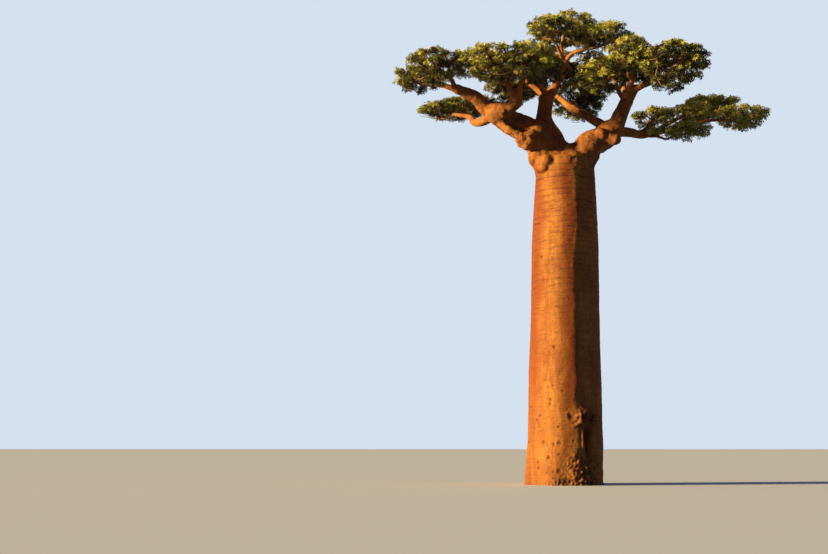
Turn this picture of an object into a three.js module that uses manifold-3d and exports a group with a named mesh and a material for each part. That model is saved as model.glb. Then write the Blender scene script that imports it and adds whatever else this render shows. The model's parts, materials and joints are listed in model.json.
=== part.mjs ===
// A great baobab of the flat-topped kind: a columnar trunk with a root flare, a forked head of gnarled
// boughs, and a spreading umbrella of foliage pads. It stands at full size in millimetres, +Z up, with its
// origin at the centre of the flat cut at ground level. The front of the tree looks along -Y, and +X is its
// right-hand side.
import * as THREE from "three";
import { mergeVertices } from "three/addons/utils/BufferGeometryUtils.js";
import Module from "manifold-3d";

const wasm = await Module();
wasm.setup();

// Sizes are written in metres and turned into millimetres here. The gap between neighbours is in
// millimetres.
const MM = 1000;
const JOINT_GAP = 0.3;

// The trunk: the height of its head, its lean, and its radius at each height.
const TRUNK_HEIGHT = 16;
const TRUNK_LEAN = 0.3;
const TRUNK_PROFILE = [
  [0, 1.88],
  [0.35, 1.78],
  [2, 1.68],
  [7.4, 1.57],
  [10.7, 1.54],
  [13.2, 1.41],
  [14.7, 1.34],
  [15.4, 1.4],
  [15.8, 1.1],
  [16, 0.4],
];
const TRUNK_SIDES = 24;
const TRUNK_RING_HEIGHTS = [0, 0.3, 0.8, 1.5, 2.2, 3, 5, 7.4, 10.7, 13.2, 14.2, 14.7, 15.1, 15.4, 15.8, 16];

// Swellings and hollows of the trunk: which way each one faces, how high it is, how far it spreads and how
// far it stands out. A minus depth is a hollow.
const TRUNK_FEATURES = [
  { heading: 196, height: 14.95, across: 0.7, tall: 0.4, depth: 0.4 },
  { heading: 311, height: 2, across: 0.3, tall: 0.7, depth: -0.35 },
  { heading: 300, height: 3.05, across: 0.4, tall: 0.3, depth: 0.16 },
];

// Root lobes round the foot, which fade out with height.
const ROOT_LOBES = 7;
const ROOT_LOBE_TURN = 1;
const ROOT_LOBE_DEPTH = 0.07;
const ROOT_LOBE_FADE = 0.9;

// Every limb: its name, the limb that it grows from and how far along it, its compass heading in degrees
// from +X towards +Y, its horizontal reach, its rise, the arch of its middle, and its radius at the root
// and at the tip.
const LIMB_ROWS = [
  ["bough_left", "trunk", 0.925, 197, 3.4, 2.35, 0.12, 0.95, 0.55],
  ["bough_right", "trunk", 0.915, 0, 2.3, 1.8, 0.1, 0.88, 0.5],
  ["bough_middle", "bough_left", 0.31, 69, 0.55, 2.7, 0, 0.5, 0.3],

  ["bough_left_outer", "bough_left", 0.94, 203, 2.1, 1.1, 0.12, 0.44, 0.2],
  ["branch_left_end", "bough_left_outer", 0.95, 170, 1.2, 0.4, 0, 0.16, 0.09],
  ["branch_left_lift", "bough_left_outer", 0.95, 248, 0.8, 0.35, 0, 0.15, 0.09],
  ["bough_left_inner", "bough_left", 0.92, 318, 1.2, 0.65, -0.1, 0.32, 0.2],
  ["branch_left_front", "bough_left_inner", 0.93, 247, 1.9, 0.5, 0.1, 0.16, 0.09],
  ["branch_left_middle", "bough_left_inner", 0.93, 284, 2, 0.6, 0.1, 0.15, 0.09],
  ["branch_left_spur", "bough_left_inner", 0.8, 95, 0.3, 0.35, 0, 0.1, 0.06],
  ["bough_left_low", "bough_left", 0.93, 126, 3.8, 1, -0.35, 0.26, 0.1],
  ["branch_left_rear", "bough_left_low", 0.6, 100, 3.3, 1.55, 0, 0.14, 0.08],

  ["bough_middle_upper", "bough_middle", 0.95, 303, 1.65, 1.25, -0.1, 0.26, 0.16],
  ["branch_top_left", "bough_middle_upper", 0.95, 243, 0.65, 0.65, 0, 0.1, 0.07],
  ["branch_top_right", "bough_middle_upper", 0.95, 331, 1.05, 0.45, 0.1, 0.12, 0.08],
  ["branch_top_centre", "bough_middle_upper", 0.95, 100, 0.3, 1.1, 0, 0.11, 0.07],
  ["branch_top_rear", "bough_middle_upper", 0.4, 76, 2.1, 1.65, 0.1, 0.13, 0.08],
  ["branch_middle_front", "bough_middle", 0.93, 262, 1.5, 0.45, 0, 0.18, 0.1],
  ["branch_middle_left", "bough_middle", 0.92, 150, 1.8, 1.75, 0.1, 0.17, 0.09],

  ["bough_right_upper", "bough_right", 0.9, 312, 1.65, 1.8, -0.15, 0.42, 0.27],
  ["branch_right_crest", "bough_right_upper", 0.95, 262, 1.45, 0.45, 0, 0.16, 0.09],
  ["branch_right_front", "bough_right_upper", 0.94, 298, 2, -0.1, 0.05, 0.18, 0.1],
  ["branch_right_brow", "bough_right_upper", 0.94, 342, 1.6, 0.45, 0, 0.15, 0.08],
  ["branch_right_back", "bough_right_upper", 0.7, 112, 1.5, 1.6, 0.1, 0.12, 0.08],
  ["bough_cross", "bough_right", 0.94, 138, 4.9, 3.4, 0.1, 0.24, 0.1],
  ["branch_cross_rear", "bough_cross", 0.45, 92, 2, 1, 0, 0.14, 0.09],
  ["branch_rear_right", "bough_right_upper", 0.6, 81, 4, 3.2, 0.1, 0.18, 0.09],
  ["bough_right_low", "bough_right", 0.93, 36, 3.7, 0.55, -0.12, 0.25, 0.15],
  ["branch_right_end", "bough_right_low", 0.96, 5, 2.6, 0.5, -0.05, 0.13, 0.07],
  ["branch_right_shelf", "bough_right_low", 0.96, 35, 0.9, 0.65, 0, 0.11, 0.07],
  ["branch_right_small", "bough_right_low", 0.45, 60, 1.25, 0.9, 0, 0.11, 0.07],
  ["branch_right_under", "bough_right_low", 0.5, 345, 0.95, -0.25, 0, 0.1, 0.06],
  ["branch_right_rear", "bough_right_low", 0.75, 50, 3.3, 1.7, 0.1, 0.13, 0.08],
];

// How a limb swells at its root, how crooked it is, and how its end is rounded where others fork from it.
const ROOT_SWELL = 0.3;
const ROOT_SWELL_FADE = 7;
const CROOK = 0.045;
const CROOK_SIDEWAYS = 1.6;
const CROOK_POINTS = 3;
const FIRST_LIMB_SEED = 101;
const LIMB_SEED_STEP = 17;
const FORKS_FROM = 0.9;
const ROUNDED_TIP = 0.1;
const TIP_ROUNDING = 0.85;
const ROUNDED_TIP_STEPS = 2;

// How finely a limb is made: the length of a step, and the sides of thick and thin ones.
const LIMB_STEP = 0.9;
const LIMB_FEWEST_STEPS = 3;
const THICK_LIMB = 0.4;
const THICK_LIMB_SIDES = 10;
const THIN_LIMB_SIDES = 6;

// Every foliage pad: its name, the limb whose tip its stem meets, and its half sizes along that limb,
// across it and upwards.
const PAD_ROWS = [
  ["foliage_left_end", "branch_left_end", 1.45, 1.75, 0.95],
  ["foliage_left_lift", "branch_left_lift", 1.55, 1.6, 1.1],
  ["foliage_left_front", "branch_left_front", 1.6, 1.6, 1.1],
  ["foliage_left_middle", "branch_left_middle", 1.5, 1.4, 1.05],
  ["foliage_left_spur", "branch_left_spur", 0.8, 0.85, 0.6],
  ["foliage_left_low", "bough_left_low", 1.8, 2.1, 0.65],
  ["foliage_left_rear", "branch_left_rear", 1.9, 2.1, 0.7],
  ["foliage_top_left", "branch_top_left", 1.6, 1.5, 1],
  ["foliage_top_right", "branch_top_right", 1.7, 1.7, 1],
  ["foliage_top_centre", "branch_top_centre", 1.7, 1.8, 1],
  ["foliage_top_rear", "branch_top_rear", 1.9, 2.1, 0.85],
  ["foliage_middle_front", "branch_middle_front", 1.2, 1.2, 0.8],
  ["foliage_middle_left", "branch_middle_left", 1.7, 1.8, 0.8],
  ["foliage_right_crest", "branch_right_crest", 1.45, 1.25, 0.95],
  ["foliage_right_front", "branch_right_front", 1.7, 1.7, 1.3],
  ["foliage_right_brow", "branch_right_brow", 1.55, 1.6, 1.15],
  ["foliage_right_back", "branch_right_back", 1.7, 1.6, 0.9],
  ["foliage_cross", "bough_cross", 1.8, 2, 0.8],
  ["foliage_cross_rear", "branch_cross_rear", 1.9, 1.5, 1.1],
  ["foliage_rear_right", "branch_rear_right", 1.8, 1.9, 0.8],
  ["foliage_right_end", "branch_right_end", 1.5, 1.5, 0.85],
  ["foliage_right_shelf", "branch_right_shelf", 1.35, 1.35, 0.85],
  ["foliage_right_small", "branch_right_small", 1.1, 1.1, 0.95],
  ["foliage_right_under", "branch_right_under", 1.55, 1.1, 0.5],
  ["foliage_right_rear", "branch_right_rear", 1.8, 2, 0.75],
];

// Where a pad lies from its limb's tip, and where its stem runs, all in shares of the pad's half sizes. The
// hub is the place where the stem turns into the pad's axis.
const PAD_FORWARD = 0.6;
const PAD_LIFT = 0.35;
const HUB_AHEAD = -0.3;
const HUB_UP = -0.35;
const AXIS_END_AHEAD = 0.45;
const STEM_BEND = 0.5;
const STEM_SHARE = 0.85;
const AXIS_TIP_RADIUS = 0.05;

// The side twigs of a pad, by turns on the left and on the right: how far along the axis each one leaves,
// at what angle from straight ahead its tip lies, and how high.
const PAD_TWIGS = [
  { at: 0.6, angle: 135, height: 0.1 },
  { at: 0.69, angle: 115, height: -0.25 },
  { at: 0.79, angle: 62, height: -0.2 },
  { at: 0.89, angle: 48, height: 0.12 },
];
const TWIG_SWING = 14;
const TWIG_REACH = 0.45;
const TWIG_REACH_SPREAD = 0.1;
const TWIG_RADIUS = 0.032;
const TWIG_TAPER = 0.7;
const TWIG_SIDES = 3;
const TWIG_TEST_SHARES = [0.3, 0.6, 1];

// The sprays: how far along its twig each one leaves, and its direction outwards, to the left and upwards.
const TWIG_SPRAYS = [
  { at: 0.45, out: 0.3, side: 0.4, up: 1 },
  { at: 0.9, out: 0.6, side: 0.8, up: 0.7 },
  { at: 0.97, out: 1, side: -0.1, up: 0.2 },
  { at: 0.95, out: 0.7, side: -0.9, up: -0.2 },
];
const TWIG_SPRAYS_DROOPING = [
  { at: 0.45, out: 0.3, side: -0.4, up: 1 },
  { at: 0.9, out: 0.5, side: -0.8, up: 0.7 },
  { at: 0.97, out: 1, side: 0.1, up: -0.4 },
  { at: 0.95, out: 0.7, side: 0.9, up: 0 },
];
const AXIS_SPRAYS = [
  { at: 0.7, out: -0.3, side: 0.3, up: 1 },
  { at: 0.84, out: 0.2, side: -0.3, up: 1 },
  { at: 0.99, out: 1, side: 0, up: 0.3 },
];

// The shape of a spray, its width and thickness as shares of its length, and how one is fitted in.
const SPRAY_SHORTEST = 0.4;
const SPRAY_LONGEST = 1.35;
const SPRAY_WIDTH = 0.68;
const SPRAY_THICKNESS = 0.06;
const SPRAY_WIDEST_AT = 0.6;
const SPRAY_TEST_SHARES = [0.35, SPRAY_WIDEST_AT, 0.85];
const SPRAY_TRIES = 6;
const SPRAY_SWAY = 0.25;
const FIRST_PAD_SEED = 7013;
const PAD_SEED_STEP = 131;

// How a pad keeps to its own space: where its edge lies, how far it stays from the next pad as a share of
// its size, and how far from a limb in metres.
const PAD_EDGE = 0.98;
const SPACE_MARGIN = 0.06;
const LIMB_MARGIN = 0.08;
const LIMB_SAMPLE_STEP = 0.12;
const ROOM_STEP = 0.02;

const BARK = new THREE.MeshStandardMaterial({ color: 0x9c5f38, roughness: 0.85, metalness: 0 });
const BARK_YOUNG = new THREE.MeshStandardMaterial({ color: 0x8a5535, roughness: 0.85, metalness: 0 });
const LEAVES = new THREE.MeshStandardMaterial({ color: 0x5d6b22, roughness: 0.7, metalness: 0 });

const UP = new THREE.Vector3(0, 0, 1);
const MERGE_DISTANCE = 1e-3;
const RANDOM_FACTOR = 1664525;
const RANDOM_STEP = 1013904223;
const RANDOM_RANGE = 2 ** 32;

// The same numbers on every run: each call gives the next one, from 0 to 1.
function randomFrom(seed) {
  let state = seed;
  return () => {
    state = (state * RANDOM_FACTOR + RANDOM_STEP) % RANDOM_RANGE;
    return state / RANDOM_RANGE;
  };
}

function solidOf(geometry) {
  const bare = new THREE.BufferGeometry().setAttribute("position", geometry.getAttribute("position"));
  if (geometry.index) bare.setIndex(geometry.index);
  const merged = mergeVertices(bare, MERGE_DISTANCE);
  return new wasm.Manifold(
    new wasm.Mesh({
      numProp: 3,
      vertProperties: new Float32Array(merged.attributes.position.array),
      triVerts: new Uint32Array(merged.index.array),
    }),
  );
}

function meshOf(name, solid, material) {
  const cut = solid.getMesh();
  const geometry = new THREE.BufferGeometry()
    .setAttribute("position", new THREE.BufferAttribute(new Float32Array(cut.vertProperties), 3))
    .setIndex(new THREE.BufferAttribute(new Uint32Array(cut.triVerts), 1));
  geometry.computeVertexNormals();
  const mesh = new THREE.Mesh(geometry, material);
  mesh.name = name;
  return mesh;
}

// The largest body of a solid, with any scrap that a cut left loose dropped.
function largestBody(solid) {
  return solid.decompose().reduce((best, body) => (body.volume() > best.volume() ? body : best));
}

// A closed tube through rings. Each ring has a centre, two directions across it, and a radius for each
// angle.
function tubeThrough(rings, sides) {
  const geometry = new THREE.CylinderGeometry(1, 1, 1, sides, rings.length - 1);
  const positions = geometry.getAttribute("position");
  const place = new THREE.Vector3();
  for (let i = 0; i < positions.count; i += 1) {
    const x = positions.getX(i);
    const z = positions.getZ(i);
    const onAxis = Math.hypot(x, z) < 0.5;
    const ring = rings[Math.round((positions.getY(i) + 0.5) * (rings.length - 1))];
    const radius = onAxis ? 0 : ring.radius(Math.atan2(-z, x));
    place.copy(ring.centre);
    place.addScaledVector(ring.across, x * radius);
    place.addScaledVector(ring.along, -z * radius);
    positions.setXYZ(i, place.x, place.y, place.z);
  }
  return geometry;
}

// The trunk's centre at a height, all in metres.
function trunkCentre(height) {
  return new THREE.Vector3(TRUNK_LEAN * (height / TRUNK_HEIGHT), 0, height);
}

function headingGap(angle, heading) {
  const gap = angle - THREE.MathUtils.degToRad(heading);
  return Math.atan2(Math.sin(gap), Math.cos(gap));
}

// The trunk's radius in metres at a height and an angle round it, with its lobes, swellings and hollow.
function trunkRadius(height, angle) {
  const above = TRUNK_PROFILE.findIndex(([level]) => level >= height);
  const upper = Math.max(above, 1);
  const [lowLevel, lowRadius] = TRUNK_PROFILE[upper - 1];
  const [highLevel, highRadius] = TRUNK_PROFILE[upper];
  const share = (height - lowLevel) / (highLevel - lowLevel);
  const lobe = Math.exp(-height / ROOT_LOBE_FADE) * Math.cos(ROOT_LOBES * angle + ROOT_LOBE_TURN);
  let radius = lowRadius + (highRadius - lowRadius) * share + ROOT_LOBE_DEPTH * lobe;
  for (const feature of TRUNK_FEATURES) {
    const sideways = (headingGap(angle, feature.heading) * radius) / feature.across;
    const upwards = (height - feature.height) / feature.tall;
    radius += feature.depth * Math.exp(-(sideways * sideways) - upwards * upwards);
  }
  return radius;
}

// The trunk, or the same body grown by a margin in millimetres to cut its neighbours with.
function trunkSolid(margin) {
  const rings = TRUNK_RING_HEIGHTS.map((height) => ({
    centre: trunkCentre(height).multiplyScalar(MM).addScaledVector(UP, margin),
    across: new THREE.Vector3(1, 0, 0),
    along: new THREE.Vector3(0, 1, 0),
    radius: (angle) => trunkRadius(height, angle) * MM + margin,
  }));
  return solidOf(tubeThrough(rings, TRUNK_SIDES));
}

// The line that a limb follows from its root, in metres: a shallow arch with a few crooked bends in it.
function limbCurve(start, limb, seed) {
  const heading = THREE.MathUtils.degToRad(limb.heading);
  const out = new THREE.Vector3(Math.cos(heading), Math.sin(heading), 0);
  const side = new THREE.Vector3(-out.y, out.x, 0);
  const end = start.clone().addScaledVector(out, limb.reach).addScaledVector(UP, limb.rise);
  const bend = CROOK * Math.hypot(limb.reach, limb.rise);
  const random = randomFrom(seed);
  const points = [start.clone()];
  for (let k = 1; k <= CROOK_POINTS; k += 1) {
    const t = k / (CROOK_POINTS + 1);
    const point = start.clone().lerp(end, t);
    point.addScaledVector(UP, limb.arch * 4 * t * (1 - t) + bend * (2 * random() - 1));
    point.addScaledVector(side, bend * (2 * random() - 1) * CROOK_SIDEWAYS);
    points.push(point);
  }
  points.push(end);
  return new THREE.CatmullRomCurve3(points);
}

// A limb's radius in metres at a share of its length: swollen at the root and, where others leave it,
// round-ended.
function limbRadius(limb, t) {
  const taper = limb.root + (limb.tip - limb.root) * t;
  const swell = 1 + ROOT_SWELL * Math.exp(-t * ROOT_SWELL_FADE);
  const past = limb.forks ? Math.max(0, (t - 1 + ROUNDED_TIP) / ROUNDED_TIP) : 0;
  return taper * swell * Math.sqrt(1 - TIP_ROUNDING * past * past);
}

// A limb, or the same body grown by a margin in millimetres to cut its neighbours with.
function limbTube(limb, margin) {
  const sides = limb.root > THICK_LIMB ? THICK_LIMB_SIDES : THIN_LIMB_SIDES;
  const plainSteps = Math.max(LIMB_FEWEST_STEPS, Math.round(limb.curve.getLength() / LIMB_STEP));
  const steps = plainSteps + (limb.forks ? ROUNDED_TIP_STEPS : 0);
  const frames = limb.curve.computeFrenetFrames(steps);
  const rings = [];
  for (let k = 0; k <= steps; k += 1) {
    const t = k / steps;
    const centre = limb.curve.getPointAt(t).multiplyScalar(MM);
    if (k === 0) centre.addScaledVector(frames.tangents[k], -margin);
    if (k === steps) centre.addScaledVector(frames.tangents[k], margin);
    rings.push({
      centre,
      across: frames.normals[k],
      along: frames.binormals[k],
      radius: () => limbRadius(limb, t) * MM + margin,
    });
  }
  return solidOf(tubeThrough(rings, sides));
}

// Grows every limb from the one that it leaves, in order, as curves in metres.
function growLimbs() {
  const grown = new Map();
  LIMB_ROWS.forEach(([name, from, at, heading, reach, rise, arch, root, tip], index) => {
    const forks = LIMB_ROWS.some(([, parent, place]) => parent === name && place > FORKS_FROM);
    const limb = { name, heading, reach, rise, arch, root, tip, forks };
    const parent = grown.get(from);
    const start = parent ? parent.curve.getPointAt(at) : trunkCentre(TRUNK_HEIGHT * at);
    limb.curve = limbCurve(start, limb, FIRST_LIMB_SEED + LIMB_SEED_STEP * index);
    limb.samples = limbSamples(limb);
    grown.set(name, limb);
  });
  return grown;
}

// Points along a limb with its radius at each, to test what comes near it.
function limbSamples(limb) {
  const count = Math.ceil(limb.curve.getLength() / LIMB_SAMPLE_STEP);
  const samples = [];
  for (let k = 0; k <= count; k += 1) {
    const t = k / count;
    samples.push({ centre: limb.curve.getPointAt(t), radius: limbRadius(limb, t) });
  }
  return samples;
}

// Each limb's solid, cut clear of the trunk and of the limbs made before it.
function limbSolids(limbs) {
  const cutters = [trunkSolid(JOINT_GAP)];
  const solids = new Map();
  for (const limb of limbs.values()) {
    let solid = limbTube(limb, 0);
    for (const cutter of cutters) solid = solid.subtract(cutter);
    solids.set(limb.name, largestBody(solid));
    cutters.push(limbTube(limb, JOINT_GAP));
  }
  return solids;
}

// Where each pad's space lies: its centre and its directions, in metres.
function padSpaces(limbs) {
  return PAD_ROWS.map(([name, limbName, long, wide, high], index) => {
    const limb = limbs.get(limbName);
    const tip = limb.curve.getPointAt(1);
    const leaving = limb.curve.getTangentAt(1);
    const ahead = new THREE.Vector3(leaving.x, leaving.y, 0).normalize();
    const side = new THREE.Vector3(-ahead.y, ahead.x, 0);
    const slope = Math.hypot(leaving.x, leaving.y);
    const centre = tip.clone().addScaledVector(ahead, long * PAD_FORWARD * slope);
    centre.addScaledVector(UP, high * PAD_LIFT + high * PAD_FORWARD * (1 - slope));
    const seed = FIRST_PAD_SEED + PAD_SEED_STEP * index;
    const stem = limb.tip * STEM_SHARE;
    return { name, long, wide, high, tip, leaving, ahead, side, slope, centre, stem, seed };
  });
}

// A point of a pad's space, from shares of its half sizes.
function placeIn(pad, x, y, z) {
  return pad.centre
    .clone()
    .addScaledVector(pad.ahead, x * pad.long)
    .addScaledVector(pad.side, y * pad.wide)
    .addScaledVector(UP, z * pad.high);
}

// How far out of a pad's middle a point is: 1 on its edge.
function depthIn(pad, point) {
  const from = point.clone().sub(pad.centre);
  return Math.hypot(from.dot(pad.ahead) / pad.long, from.dot(pad.side) / pad.wide, from.z / pad.high);
}

function keepsToSpace(pad, pads, point) {
  const own = depthIn(pad, point);
  return own <= 1 && pads.every((other) => other === pad || depthIn(other, point) > own + SPACE_MARGIN);
}

function clearOfLimbs(limbs, point) {
  for (const limb of limbs.values()) {
    for (const sample of limb.samples) {
      if (sample.centre.distanceTo(point) < sample.radius + LIMB_MARGIN) return false;
    }
  }
  return true;
}

// A three-sided twig through points in metres, cut square at its root, that tapers from one radius to the
// other.
function twigSolid(points, leaving, rootRadius, tipRadius) {
  const steps = points.length - 1;
  const rings = points.map((point, k) => {
    const before = points[Math.max(k - 1, 0)];
    const after = points[Math.min(k + 1, steps)];
    const tangent = k === 0 ? leaving.clone() : after.clone().sub(before).normalize();
    const turn = new THREE.Quaternion().setFromUnitVectors(UP, tangent);
    return {
      centre: point.clone().multiplyScalar(MM),
      across: new THREE.Vector3(1, 0, 0).applyQuaternion(turn),
      along: new THREE.Vector3(0, 1, 0).applyQuaternion(turn),
      radius: () => (rootRadius + ((tipRadius - rootRadius) * k) / steps) * MM,
    };
  });
  return solidOf(tubeThrough(rings, TWIG_SIDES));
}

// One spray of leaves from its root to its tip, with the directions across and through it, turned to face a
// way.
function sprayOutline(root, tip, facing) {
  const along = tip.clone().sub(root);
  const length = along.length();
  along.normalize();
  const across = new THREE.Vector3().crossVectors(facing, along).normalize();
  const flat = new THREE.Vector3().crossVectors(along, across);
  return { root, tip, across, flat, length };
}

// A spray as a flat blade of eight faces.
function spraySolid(spray) {
  const geometry = new THREE.OctahedronGeometry(1, 0);
  const positions = geometry.getAttribute("position");
  for (let i = 0; i < positions.count; i += 1) {
    const y = Math.round(positions.getY(i));
    const share = y === 0 ? SPRAY_WIDEST_AT : (y + 1) / 2;
    const place = spray.root.clone().lerp(spray.tip, share);
    place.addScaledVector(spray.across, positions.getX(i) * spray.length * SPRAY_WIDTH * 0.5);
    place.addScaledVector(spray.flat, -positions.getZ(i) * spray.length * SPRAY_THICKNESS * 0.5);
    place.multiplyScalar(MM);
    positions.setXYZ(i, place.x, place.y, place.z);
  }
  return solidOf(geometry);
}

// The points that stand for a spray when its room is tested: its middle line, both edges and its tip.
function sprayTests(spray) {
  const tests = [spray.tip];
  for (const share of SPRAY_TEST_SHARES) {
    const narrowing = share < SPRAY_WIDEST_AT ? share / SPRAY_WIDEST_AT : (1 - share) / (1 - SPRAY_WIDEST_AT);
    const half = spray.length * SPRAY_WIDTH * 0.5 * narrowing;
    for (const side of [-half, 0, half]) {
      tests.push(spray.root.clone().lerp(spray.tip, share).addScaledVector(spray.across, side));
    }
  }
  return tests;
}

// The side twigs that leave a pad's axis by turns to the left and to the right, each with the direction
// that it takes outwards.
function padTwigs(pad, axis, random) {
  return PAD_TWIGS.map((rule, k) => {
    const hand = k % 2 === 0 ? 1 : -1;
    const angle = THREE.MathUtils.degToRad(rule.angle + TWIG_SWING * (random() - 0.5));
    const reach = TWIG_REACH * (1 + TWIG_REACH_SPREAD * (random() - 0.5));
    const root = alongAxis(axis, rule.at);
    const end = placeIn(pad, Math.cos(angle) * reach, Math.sin(angle) * reach * hand, rule.height);
    return { root, end, out: end.clone().sub(root).setZ(0).normalize() };
  });
}

// The point at a share of an axis, whose points count as evenly spaced.
function alongAxis(axis, share) {
  const place = share * (axis.length - 1);
  const k = Math.min(Math.floor(place), axis.length - 2);
  return axis[k].clone().lerp(axis[k + 1], place - k);
}

// Where a pad's sprays leave and which way they go: each side twig carries some, and so does the axis.
function sprayPlaces(pad, axis, twigs) {
  const places = [];
  const add = (root, out, rule) => {
    const side = new THREE.Vector3(-out.y, out.x, 0);
    const way = out.clone().multiplyScalar(rule.out);
    way.addScaledVector(side, rule.side).addScaledVector(UP, rule.up).normalize();
    places.push({ root, way });
  };
  twigs.forEach((twig, k) => {
    const rules = k % 2 === 0 ? TWIG_SPRAYS : TWIG_SPRAYS_DROOPING;
    for (const rule of rules) add(twig.root.clone().lerp(twig.end, rule.at), twig.out, rule);
  });
  for (const rule of AXIS_SPRAYS) add(alongAxis(axis, rule.at), pad.ahead, rule);
  return places;
}

// How far it is from a point inside a pad, along a direction, to where the pad's space ends.
function roomAhead(pad, from, way) {
  let room = 0;
  while (room < SPRAY_LONGEST && depthIn(pad, from.clone().addScaledVector(way, room)) < PAD_EDGE) {
    room += ROOM_STEP;
  }
  return room;
}

// The first try at a spray that keeps to the pad's space and touches no limb and no other spray.
function fitSpray(pad, place, fits, others, random) {
  for (let k = 0; k < SPRAY_TRIES; k += 1) {
    const sway = new THREE.Vector3(random() - 0.5, random() - 0.5, random() - 0.5);
    const way = place.way.clone().addScaledVector(sway, SPRAY_SWAY * k).normalize();
    const facing = new THREE.Vector3(random() - 0.5, random() - 0.5, random() - 0.5).normalize();
    const room = roomAhead(pad, place.root, way);
    if (room < SPRAY_SHORTEST) continue;
    const spray = sprayOutline(place.root, place.root.clone().addScaledVector(way, room), facing);
    if (!sprayTests(spray).every(fits)) continue;
    const solid = spraySolid(spray);
    if (others.every((other) => solid.intersect(other).isEmpty())) return solid;
  }
  return null;
}

// A pad as one solid: the stem and its axis, the side twigs, and the sprays on them.
function padSolid(pad, pads, limbs) {
  const random = randomFrom(pad.seed);
  const start = pad.tip.clone().addScaledVector(pad.leaving, JOINT_GAP / MM);
  const hub = placeIn(pad, HUB_AHEAD * pad.slope, 0, HUB_UP);
  const bend = start.clone().addScaledVector(pad.leaving, start.distanceTo(hub) * STEM_BEND);
  const axis = [start, bend, hub, placeIn(pad, AXIS_END_AHEAD, 0, 0)];
  const fits = (point) => keepsToSpace(pad, pads, point) && clearOfLimbs(limbs, point);
  const twigs = padTwigs(pad, axis, random).filter((twig) =>
    TWIG_TEST_SHARES.every((share) => fits(twig.root.clone().lerp(twig.end, share))),
  );
  const wood = [twigSolid(axis, pad.leaving, pad.stem, AXIS_TIP_RADIUS)];
  for (const { root, end } of twigs) {
    wood.push(twigSolid([root, end], end.clone().sub(root).normalize(), TWIG_RADIUS, TWIG_RADIUS * TWIG_TAPER));
  }
  const sprays = [];
  for (const place of sprayPlaces(pad, axis, twigs)) {
    const spray = fitSpray(pad, place, fits, sprays, random);
    if (spray) sprays.push(spray);
  }
  return largestBody(wasm.Manifold.union([...wood, ...sprays]));
}

const limbs = growLimbs();
const pads = padSpaces(limbs);

const tree = new THREE.Group();
tree.add(meshOf("trunk", trunkSolid(0), BARK));
for (const [name, solid] of limbSolids(limbs)) tree.add(meshOf(name, solid, BARK_YOUNG));
for (const pad of pads) tree.add(meshOf(pad.name, padSolid(pad, pads, limbs), LEAVES));

export default tree;
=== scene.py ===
# The looks of a great flat-topped baobab: its bark, its gnarled head of boughs, and its leafy crown.
# Everything is in metres, with +Z up and the front of the tree looking along -Y.
import json
import math

import bmesh
import bpy
import numpy as np
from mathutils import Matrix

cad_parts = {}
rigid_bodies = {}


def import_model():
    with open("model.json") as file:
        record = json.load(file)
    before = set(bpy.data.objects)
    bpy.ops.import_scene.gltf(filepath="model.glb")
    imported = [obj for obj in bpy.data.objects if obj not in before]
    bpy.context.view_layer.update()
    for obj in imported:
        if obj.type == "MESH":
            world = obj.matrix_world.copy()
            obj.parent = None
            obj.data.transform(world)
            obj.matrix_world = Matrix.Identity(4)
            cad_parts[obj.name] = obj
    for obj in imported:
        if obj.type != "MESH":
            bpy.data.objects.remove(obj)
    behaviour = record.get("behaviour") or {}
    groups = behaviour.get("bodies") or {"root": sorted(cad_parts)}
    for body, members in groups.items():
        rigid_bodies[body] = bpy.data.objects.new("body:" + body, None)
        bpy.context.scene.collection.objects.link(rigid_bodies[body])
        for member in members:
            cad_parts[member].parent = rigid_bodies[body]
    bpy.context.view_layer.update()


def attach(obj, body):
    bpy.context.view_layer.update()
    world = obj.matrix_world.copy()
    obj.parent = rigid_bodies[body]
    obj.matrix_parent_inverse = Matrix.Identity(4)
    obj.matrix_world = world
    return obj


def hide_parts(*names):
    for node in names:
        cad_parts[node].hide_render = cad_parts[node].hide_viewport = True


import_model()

UP = np.array([0.0, 0.0, 1.0])
LEVEL = np.array([1.0, 0, 0])
LOW_BITS = 0xFFFFFFFF
NOISE_ORIGIN = 4096

# The trunk: the height of its head, its lean, and its radius at each height.
TRUNK_HEIGHT = 16
TRUNK_LEAN = 0.3
TRUNK_PROFILE = [
    (0, 1.88), (0.35, 1.78), (2, 1.68), (7.4, 1.57), (10.7, 1.54),
    (13.2, 1.41), (14.7, 1.34), (15.4, 1.4), (15.8, 1.1), (16, 0.4),
]

# Swellings and hollows of the trunk: heading in degrees, height, spread across and up, and depth.
TRUNK_FEATURES = [
    (196, 14.95, 0.7, 0.4, 0.4),
    (311, 2, 0.3, 0.7, -0.35),
    (300, 3.05, 0.4, 0.3, 0.16),
]
PROFILE_SOFTNESS = 0.35
ROOT_LOBES = 7
ROOT_LOBE_TURN = 1
ROOT_LOBE_DEPTH = 0.07
ROOT_LOBE_FADE = 0.9

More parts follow.
